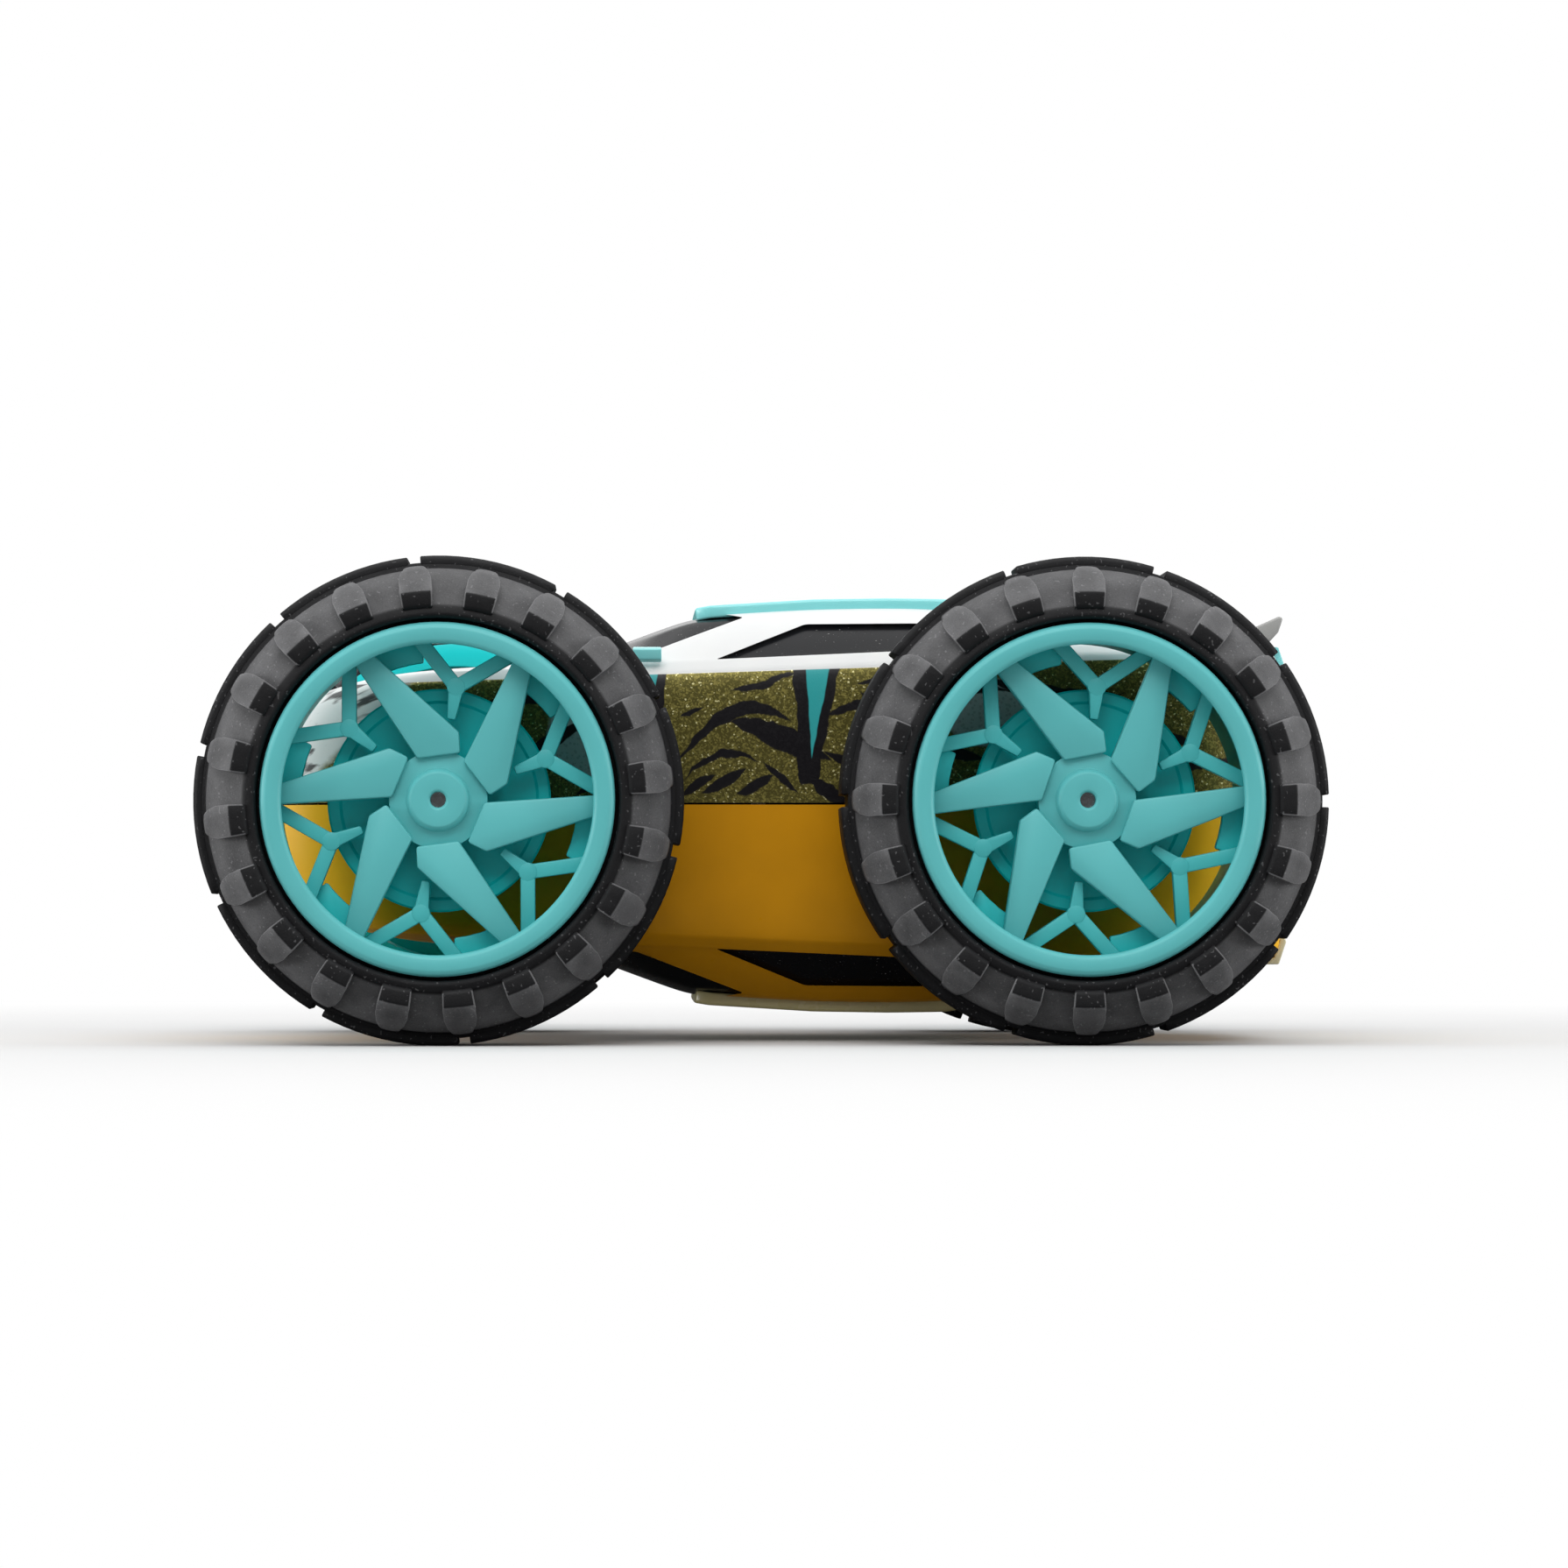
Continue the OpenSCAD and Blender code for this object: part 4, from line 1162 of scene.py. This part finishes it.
@dataclass(frozen=True)
class BodyForm:
    """Outer skin of one face of the car, in millimetres: x along, y across, h above the axles.

    top and plan give its height and half width at places along it, tail its end at heights.
    The shell's core is the skin drawn in by the wall at each reach from the middle.
    """

    top: tuple[Point, ...] = (
        (-53.5, 4.0), (-52.9, 6.6), (-52.0, 8.6), (-49.5, 10.7), (-46.0, 12.4), (-41.0, 13.8),
        (-36.0, 14.6), (-28.0, 15.25), (-22.5, 15.6), (-20.5, 15.8), (-17.0, 17.1), (-12.0, 19.0),
        (-7.5, 20.6), (-5.0, 20.98), (6.0, 21.65), (14.0, 21.78), (20.0, 21.7), (24.5, 21.0),
        (27.0, 20.3), (31.0, 19.05), (35.0, 18.05), (38.5, 17.5), (44.0, 17.1), (50.0, 16.95),
        (55.2, 16.9),
    )
    plan: tuple[Point, ...] = (
        (-53.5, 14.0), (-52.9, 16.6), (-52.2, 18.8), (-49.0, 22.2), (-42.0, 25.0), (-34.0, 26.0),
        (38.0, 26.0), (47.0, 24.8), (53.0, 22.4), (56.0, 18.0),
    )
    tail: tuple[Point, ...] = ((0.0, 54.4), (8.0, 54.4), (9.4, 54.7), (13.6, 55.75),
                               (14.5, 55.95), (15.4, 55.75), (16.9, 55.2))
    stations: tuple[float, ...] = (
        -53.5, -53.2, -52.6, -51.6, -50.0, -47.5, -44.5, -40.5, -36.0, -31.0, -26.0, -22.6, -20.6,
        -17.5, -14.0, -10.5, -7.6, -5.2, -1.0, 5.0, 11.0, 17.0, 21.5, 24.8, 27.5, 31.0, 35.0, 39.0,
        43.0, 47.0, 50.5, 52.8,
    )
    belt_at: float = 14.2
    belt_slope: float = 0.0456
    ledge: float = 1.15
    wall: float = 1.1
    reach: tuple[float, ...] = (54.8, 26.0, 21.8)
    middle: float = 1.3
    seam: float = 0.1
    tail_from: float = 55.0
    creases: tuple[tuple[int, float], ...] = ((5, 0.85), (6, 0.55), (10, 0.5))

    def section(self, x: float) -> list[Point]:
        """Half a section at a station: (y, h) from the seam up to the middle of the roof.

        Args:
            x: Place along the car.

        Returns:
            One point for each column of the skin.
        """
        top, wide = between(self.top, x), between(self.plan, x)
        belt = min(self.belt_at + self.belt_slope * x, top - 1.6)
        tall = min(1.0, belt / 12)
        flank = [(wide, self.seam), (wide + 0.02, belt * 0.28), (wide, belt * 0.55),
                 (wide - 0.12, belt * 0.8), (wide - 0.36, belt - 0.7 * tall),
                 (wide - 0.6, belt)]
        foot = (wide - 0.6 - 1.05 * tall, belt + min(self.ledge, 0.6 * (top - belt)))
        cabin = min(max((top - foot[1] - 0.4) / 4.6, 0.0), 1.0)
        shoulder = 18.6 * wide / 26
        rest_of_it = [foot]
        for share, swell in ((0.06, 0.10), (0.38, 0.34), (0.74, 0.54), (1.0, 0.70)):
            bulge = 0.35 * math.sin(math.pi * share)
            glass = (foot[0] - 0.25 + (shoulder - foot[0]) * share + bulge,
                     foot[1] + 0.1 + (top - 1.0 - foot[1]) * share)
            hood = (foot[0] * (1 - swell * 0.8),
                    foot[1] + (top - foot[1]) * (1 - (1 - swell) ** 2))
            rest_of_it.append(tuple(h + (g - h) * cabin for g, h in zip(glass, hood)))
        roof = ((13.4 * wide / 26, top - 0.30), (7.0 * wide / 26, top - 0.05), (0.0, top))
        hood_top = ((foot[0] * 0.30, top - 0.05), (foot[0] * 0.15, top - 0.01), (0.0, top))
        rest_of_it += [tuple(b + (a - b) * cabin for a, b in zip(*pair))
                       for pair in zip(roof, hood_top)]
        return flank + rest_of_it

    def rows(self) -> list[list[Vector]]:
        """Every row of the half skin from nose to tail, both ends closed by shrinking rows."""
        front = self.stations[0]
        made = [[self.spot(front, *self.shrunk(p, share)) for p in self.section(front)]
                for share in (0.0, 0.45, 0.9)]
        made += [[self.spot(x, *p) for p in self.section(x)] for x in self.stations]
        wide = between(self.plan, self.tail_from)
        for share, forward in ((1.0, 0.25), (0.93, 0.0), (0.7, 0.0), (0.4, 0.0), (0.0, 0.0)):
            row = []
            for point in self.section(self.tail_from):
                y, h = self.shrunk(point, share)
                x = between(self.tail, h)
                row.append(self.spot(x - forward, y * between(self.plan, x) / wide, h))
            made.append(row)
        return made

    def shrunk(self, point: Point, share: float) -> Point:
        """A section point drawn towards the middle of the seam."""
        return (point[0] * share, self.seam + (point[1] - self.seam) * share)

    def spot(self, x: float, y: float, h: float) -> Vector:
        """A place in metres."""
        return Vector((x * MM, y * MM, LAYOUT.axle_h + h * MM))

    def skin(self, name: str, levels: int = 2) -> Blank:
        """The whole outer skin of the upper face: mirrored, creased at the belt, subdivided."""
        rows = self.rows()
        made = Blank.sheet(name, rows)
        with made.editing():
            bpy.ops.mesh.remove_doubles(threshold=WELD)
        for column, crease in self.creases:
            line = {rounded(row[column]) for row in rows[3:-3]}
            with made.editing() as session:
                session.choose("edges", lambda edge, line=line: all(
                    rounded(v.co) in line for v in edge.verts))
                bpy.ops.transform.edge_crease(value=crease)
        made.worked("MIRROR", use_axis=(False, True, False), use_clip=True,
                    merge_threshold=0.02 * MM)
        with made.editing():
            bpy.ops.mesh.normals_make_consistent(inside=False)
        self.face_out(made)
        return made.worked("SUBSURF", levels=levels, render_levels=levels)

    def face_out(self, made: Blank) -> None:
        """Turns an open skin's faces outwards if its roof looks down."""
        highest = max(made.obj.data.polygons, key=lambda face: face.center.z)
        if highest.normal.z < 0:
            with made.editing():
                bpy.ops.mesh.flip_normals()


class Cutters:
    """Solids that cut openings in a shell, in the upper face's place, in millimetres."""

    depth: float = 14.0
    reach: float = 30.0

    def __init__(self) -> None:
        """Starts with none."""
        self.parts: list[Blank] = []

    def prism(self, corners: Iterable[Sequence[float]], step: Sequence[float]) -> Blank:
        """Adds the solid that an outline of (x, y, h) corners sweeps along a step."""
        made = Blank.outline("cutter", [
            Vector((x * MM, y * MM, LAYOUT.axle_h + h * MM)) for x, y, h in corners])
        self.parts.append(made.extruded(Vector(step) * MM))
        return made

    def through(self, points: Iterable[Point], soft: float = 0.0) -> None:
        """A side outline of (x, h) points, cut right across the car, its corners rounded."""
        made = self.prism([(x, -self.reach, h) for x, h in points], (0, 2 * self.reach, 0))
        if soft:
            with made.editing() as session:
                session.choose("edges", lambda edge: abs(
                    edge.verts[0].co.y - edge.verts[1].co.y) > self.reach * MM)
                bpy.ops.mesh.bevel(offset=soft * MM, segments=4, affect="EDGES")

    def block(self, low: Sequence[float], high: Sequence[float]) -> None:
        """A box from its lowest to its highest corner (x, y, h)."""
        corners = ((low[0], low[1]), (high[0], low[1]), (high[0], high[1]), (low[0], high[1]))
        self.prism([(x, y, low[2]) for x, y in corners], (0, 0, high[2] - low[2]))

    def down(self, half: Sequence[Point], floor_h: float) -> None:
        """Half an outline of (x, half width) points and its reflection, cut down to a height."""
        outline = [*half, *((x, -y) for x, y in reversed(half))]
        self.prism([(x, y, floor_h) for x, y in outline], (0, 0, self.depth))

    def bore(self, x: float, radius: float) -> None:
        """A round opening across the car at the axle plane."""
        self.through([(x + u, v) for u, v in (polar(radius, 10 * k) for k in range(36))])

    def well(self, x: float, y: float, radius: float, floor_h: float) -> None:
        """A round screw well from the roof down to a height."""
        ring = [polar(radius, 15 * k) for k in range(24)]
        self.prism([(x + u, y + v, floor_h) for u, v in ring], (0, 0, self.depth))

    def apply(self, shell: Blank) -> Blank:
        """Cuts them all from a shell."""
        for tool in self.parts:
            shell.cut(tool)
        return shell


@dataclass(frozen=True)
class Body:
    """Both faces of the car: shells, glazing and roof panels."""

    form: BodyForm = BodyForm()
    side_window: tuple[Point, ...] = ((-4.5, 15.2), (24.0, 16.5), (29.5, 17.2), (21.5, 18.9),
                                      (17.0, 19.2), (5.0, 19.1))
    windscreen: tuple[Point, ...] = ((-21.4, 15.5), (-12.8, 15.5), (-1.4, 19.9), (-7.0, 20.9),
                                     (-7.0, 24.0), (-21.4, 24.0))
    rear_window: tuple[Point, ...] = ((26.6, 13.2), (27.4, 14.0), (37.4, 16.4), (38.6, 15.4))
    glass_depth: float = 0.45
    glass_t: float = 0.7
    glass_x: Point = (-22.6, 40.4)
    glass_h: float = 14.0
    deck_h: float = 14.2
    panel_plan: tuple[Point, ...] = ((-6.6, 16.4), (-5.6, 17.3), (-4.0, 17.6), (22.4, 17.6),
                                     (24.0, 17.2), (24.8, 16.2))
    panel_proud: float = 0.38
    panel_crown: float = 0.14
    panel_t: float = 1.35
    lamp_y: float = 16.0
    lamp_low: tuple[float, float, float] = (-57, -3.6, 5.6)
    lamp_high: tuple[float, float, float] = (-47, 3.6, 9.4)
    bar_openings: tuple[tuple[tuple[float, float, float], tuple[float, float, float]], ...] = (
        ((-58, -13, -1), (-49, 13, 3.4)), ((50.6, -14, -1), (59, 14, 3.8)))
    axle_x: float = 33.0
    axle_hole_r: float = 2.25
    screw_at: Point = (44.0, 12.0)
    well_r: float = 1.95
    well_h: float = 11.0

    def shell(self, skin: Blank) -> Blank:
        """One moulded shell.

        Args:
            skin: The open outer skin, which is left as it is.

        Returns:
            The skin closed at the seam and hollowed, with its openings cut.
        """
        made = self.closed(skin.copy("shell"))
        core = self.closed(skin.copy("shell_core"), self.form.wall)
        made.cut(self.shrunk(core))
        cutters = Cutters()
        for outline in (self.side_window, self.windscreen):
            cutters.through(outline, 0.35)
        cutters.down(self.rear_window, self.deck_h)
        for side in Side:
            out = Vector((0, side.value * self.lamp_y, 0))
            cutters.block(out + Vector(self.lamp_low), out + Vector(self.lamp_high))
        for low, high in self.bar_openings:
            cutters.block(low, high)
        for end in End:
            cutters.bore(end.value * self.axle_x, self.axle_hole_r)
        return cutters.apply(made)

    def screwed(self, shell: Blank) -> Blank:
        """A shell with its four screw wells."""
        cutters = Cutters()
        x, y = self.screw_at
        for end in End:
            for side in Side:
                cutters.well(end.value * x, side.value * y, self.well_r, self.well_h)
        return cutters.apply(shell)

    def closed(self, made: Blank, drop: float = 0.0) -> Blank:
        """Closes an open skin along the seam, first drawn down a little where that is asked."""
        with made.editing() as session:
            session.choose("edges", lambda edge: edge.is_boundary)
            if drop:
                bpy.ops.mesh.extrude_region_move(
                    TRANSFORM_OT_translate={"value": (0, 0, -drop * MM)})
            bpy.ops.mesh.edge_face_add()
            bpy.ops.mesh.select_all(action="SELECT")
            bpy.ops.mesh.normals_make_consistent(inside=False)
        return made

    def shrunk(self, core: Blank) -> Blank:
        """Draws a copy of the closed skin in by the wall, towards the middle of the seam."""
        size = [1 - self.form.wall / reach for reach in self.form.reach]
        middle = (self.form.middle * MM, 0.0, LAYOUT.axle_h)
        return core.settled(size=size, move=[(1 - s) * m for s, m in zip(size, middle)])

    def glazing(self, skin: Blank) -> Blank:
        """The dark insert that fills the windows, a little below the skin."""
        made = skin.copy("glazing")
        with made.editing():
            bpy.ops.transform.shrink_fatten(value=-self.glass_depth * MM)
        front, rear = self.glass_x
        for place, normal in (
            ((front * MM, 0, 0), (-1, 0, 0)), ((rear * MM, 0, 0), (1, 0, 0)),
            ((0, 0, LAYOUT.axle_h + self.glass_h * MM), (0, 0, -1)),
        ):
            with made.editing():
                bpy.ops.mesh.bisect(plane_co=place, plane_no=normal, clear_outer=True)
        return made.worked("SOLIDIFY", thickness=self.glass_t * MM, offset=-1)

    def panel(self) -> Blank:
        """The roof panel: a gently crowned plate whose sides stand proud of the shell."""
        low, high = self.panel_plan[0][0], self.panel_plan[-1][0]
        steps, half_steps = 20, 8
        rows = []
        for number in range(steps + 1):
            x = low + (high - low) * number / steps
            half = between(self.panel_plan, x)
            top = between(self.form.top, x) + self.panel_proud
            shares = [k / half_steps for k in range(-half_steps, half_steps + 1)]
            rows.append([self.form.spot(x, half * k, top - self.panel_crown * k ** 2)
                         for k in shares])
        made = Blank.sheet("panel", rows)
        with made.editing():
            bpy.ops.mesh.normals_make_consistent(inside=False)
        self.form.face_out(made)
        made.worked("SOLIDIFY", thickness=self.panel_t * MM, offset=-1)
        return made.bevelled(0.3 * MM, 3, 50)

    def turned_over(self, made: Blank, face: Face) -> Blank:
        """Leaves an upper piece where it is, or reflects it about the axle plane."""
        if face is Face.LOWER:
            made.settled(size=(1, 1, -1))
            made.settled(move=(0, 0, 2 * LAYOUT.axle_h))
        return made

    def build(self, finishes: Finishes) -> None:
        """Builds and dresses the shells, the glazing and the roof panels."""
        skin = self.form.skin("skin")
        slots = {
            Face.UPPER: ("silver_white_shell", "dark_glazing", "teal_gloss"),
            Face.LOWER: ("orange_shell", "dark_glazing", "olive_gloss"),
        }
        shells = {Face.UPPER: self.shell(skin)}
        shells[Face.LOWER] = self.screwed(shells[Face.UPPER].copy("lower"))
        for face in Face:
            word = face.name.lower()
            kinds = (("shell", shells[face]), ("glazing", self.glazing(skin)),
                     ("roof_panel", self.panel()))
            for (kind, made), slot in zip(kinds, slots[face]):
                self.turned_over(made, face).name(f"{word}_{kind}_piece").smooth(34)
                made.finished(finishes[slot], slot, "car_body", f"{word}_{kind}")
        skin.discarded()


@dataclass(frozen=True)
class Fitting:
    """One small part on the shells, with what is done to it, in millimetres.

    soft is the width of its rounded edges, rearward a step towards the tail, and slats the
    heights of the grooves cut in it.
    """

    node: str
    slot: str
    soft: float
    rearward: float = 0.0
    slats: tuple[float, ...] = ()


@dataclass(frozen=True)
class Trim:
    """Small parts fixed to the shells, given the soft edges of mouldings."""

    fittings: tuple[Fitting, ...] = (
        Fitting("rear_spoiler", "grey_plastic", 0.25),
        Fitting("mirror_left", "teal_gloss", 0.15),
        Fitting("mirror_right", "teal_gloss", 0.15),
        Fitting("front_bumper", "black_plastic", 0.22, slats=(-1.9, -0.65, 0.65, 1.9)),
        Fitting("rear_bumper", "black_plastic", 0.3),
        Fitting("upper_tail_panel", "teal_gloss", 0.15, rearward=0.4),
        Fitting("lower_tail_panel", "cream_gloss", 0.15, rearward=0.4),
        Fitting("upper_headlamps", "clear_lens", 0.2),
        Fitting("lower_headlamps", "clear_lens", 0.2),
    )
    slat_half: float = 0.33
    slat_reach: float = 11.6
    slat_x: Point = (-60.0, -52.6)

    def slatted(self, made: Blank, heights: Sequence[float]) -> Blank:
        """Cuts level grooves at heights above the axles into a part at the nose."""
        cutters = Cutters()
        front, floor = self.slat_x
        for h in heights:
            cutters.block((front, -self.slat_reach, h - self.slat_half),
                          (floor, self.slat_reach, h + self.slat_half))
        return cutters.apply(made)

    def build(self, finishes: Finishes) -> None:
        """Rounds the edges of each part's own solid and dresses it."""
        for part in self.fittings:
            made = Blank.copy_of(part.node, f"{part.node}_piece")
            self.slatted(made, part.slats).settled(move=(part.rearward * MM, 0, 0))
            made.bevelled(part.soft * MM, 3, 28).smooth(30)
            made.finished(finishes[part.slot], part.slot, "car_body", part.node)


# ---------------------------------------------------------------- the stage


@dataclass(frozen=True)
class Studio:
    """Pale floor and backdrop, soft lights and the camera.

    The floor has one tone of paper for the camera, one for mirrored rays and one for the rest,
    and fades to bare white over a span of distances, in metres.
    """

    heart: tuple[float, float, float] = (0.0, 0.0, 0.025)
    eye: tuple[float, float, float] = (-0.0151, -0.648, 0.0127)
    lens: float = 136.4
    yaw: float = 1.633
    pitch: float = 1.322
    paper: Colour = (0.40, 0.40, 0.40)
    seen_paper: Colour = (0.71, 0.71, 0.71)
    mirrored_paper: Colour = (0.12, 0.12, 0.12)
    fade: Point = (0.09, 0.30)
    fill: float = 0.42
    mirror_low: float = 0.05
    mirror_rise: Point = (0.15, 0.75)
    floor_size: float = 14.0

    def camera(self) -> None:
        """Places the camera low beside the car."""
        data = bpy.data.cameras.new("camera")
        data.lens = self.lens
        data.sensor_width = 36.0
        data.clip_start = 0.01
        made = bpy.data.objects.new("camera", data)
        made.location = self.eye
        made.rotation_euler = (math.radians(90 + self.pitch), 0, -math.radians(self.yaw))
        bpy.context.collection.objects.link(made)
        bpy.context.scene.camera = made

    def light(self, name: str, place: Sequence[float], size: Point, power: float) -> None:
        """A soft rectangular light that faces the middle of the car.

        Args:
            name: Name of the light.
            place: Where it stands, in metres.
            size: Its width and height.
            power: Its power in watts.
        """
        data = bpy.data.lights.new(name, "AREA")
        data.shape = "RECTANGLE"
        data.size, data.size_y = size
        data.energy = power
        made = bpy.data.objects.new(name, data)
        made.location = place
        aim = Vector(self.heart) - Vector(place)
        made.rotation_euler = aim.to_track_quat("-Z", "Y").to_euler()
        bpy.context.collection.objects.link(made)

    def lights(self) -> None:
        """Soft lights from above, from both ends, from behind and from above the camera."""
        for name, place, size, power in (
            ("overhead", (0.0, 0.05, 1.0), (1.6, 1.4), 6.5),
            ("nose_side", (-0.85, -0.16, 0.12), (0.6, 0.4), 4.8),
            ("tail_side", (0.85, -0.16, 0.12), (0.6, 0.4), 4.6),
            ("far_side", (0.0, 0.9, 0.40), (0.9, 0.5), 1.8),
            ("camera_side", (-0.1, -0.85, 0.85), (1.0, 0.6), 6.5),
        ):
            self.light(name, place, size, power)

    def floor(self) -> None:
        """The floor, seen as white paper with its shadow, and as bare white far from the car."""
        rest()
        bpy.ops.mesh.primitive_grid_add(x_subdivisions=4, y_subdivisions=4, size=self.floor_size)
        floor = bpy.context.object
        floor.name = "paper_floor"
        bench = SurfaceBench("paper")
        path = bench.add("ShaderNodeLightPath", {}, {})
        eye = Term(bench, path.outputs["Is Camera Ray"])
        mirrored = Term(bench, path.outputs["Is Glossy Ray"])
        unseen = bench.mix(mirrored, self.paper, self.mirrored_paper)
        bench.set(Base_Color=bench.mix(eye, unseen, self.seen_paper), Roughness=0.95,
                  Specular_IOR_Level=0.0)
        glow = bench.node("ShaderNodeEmission", {}, {"Color": WHITE, "Strength": 1.0})
        x, y, _ = bench.axis(bench.place())
        away = (x * x + y * y).math("SQRT").ramp(*self.fade)
        bench.feed(bench.output.inputs["Surface"], bench.node(
            "ShaderNodeMixShader", {}, {0: away * eye, 1: bench.shader.outputs[0], 2: glow}))
        floor.data.materials.append(bench.owner)

    def world(self) -> None:
        """A surround that the camera sees white, and gloss sees white above and dark about."""
        world = bpy.data.worlds.new("surround")
        bpy.context.scene.world = world
        bench = NodeBench(world)
        path = bench.add("ShaderNodeLightPath", {}, {})
        eye, mirrored, through = (Term(bench, path.outputs[f"Is {kind} Ray"])
                                  for kind in ("Camera", "Glossy", "Transmission"))
        above = bench.axis(bench.place())[2].ramp(*self.mirror_rise)
        mirror = above * (1 - self.mirror_low) + self.mirror_low
        lamp = (1 - mirrored) * self.fill
        strength = (lamp + mirrored * mirror).most(eye).most(through)
        ground = bench.node("ShaderNodeBackground", {}, {"Color": WHITE, "Strength": strength})
        bench.add("ShaderNodeOutputWorld", {}, {"Surface": ground})

    def build(self) -> None:
        """Sets up the whole stage with a plain view transform."""
        bpy.context.scene.view_settings.view_transform = "Standard"
        self.camera()
        self.lights()
        self.floor()
        self.world()
        log.info("stage ready")


def main() -> None:
    """Builds the car's looks and the stage."""
    logging.basicConfig(level=logging.INFO, format="%(message)s")
    finishes = Finishes()
    dress_frame(finishes)
    Wheels().build(finishes)
    Body().build(finishes)
    Trim().build(finishes)
    Studio().build()


if __name__ == "__main__":
    main()
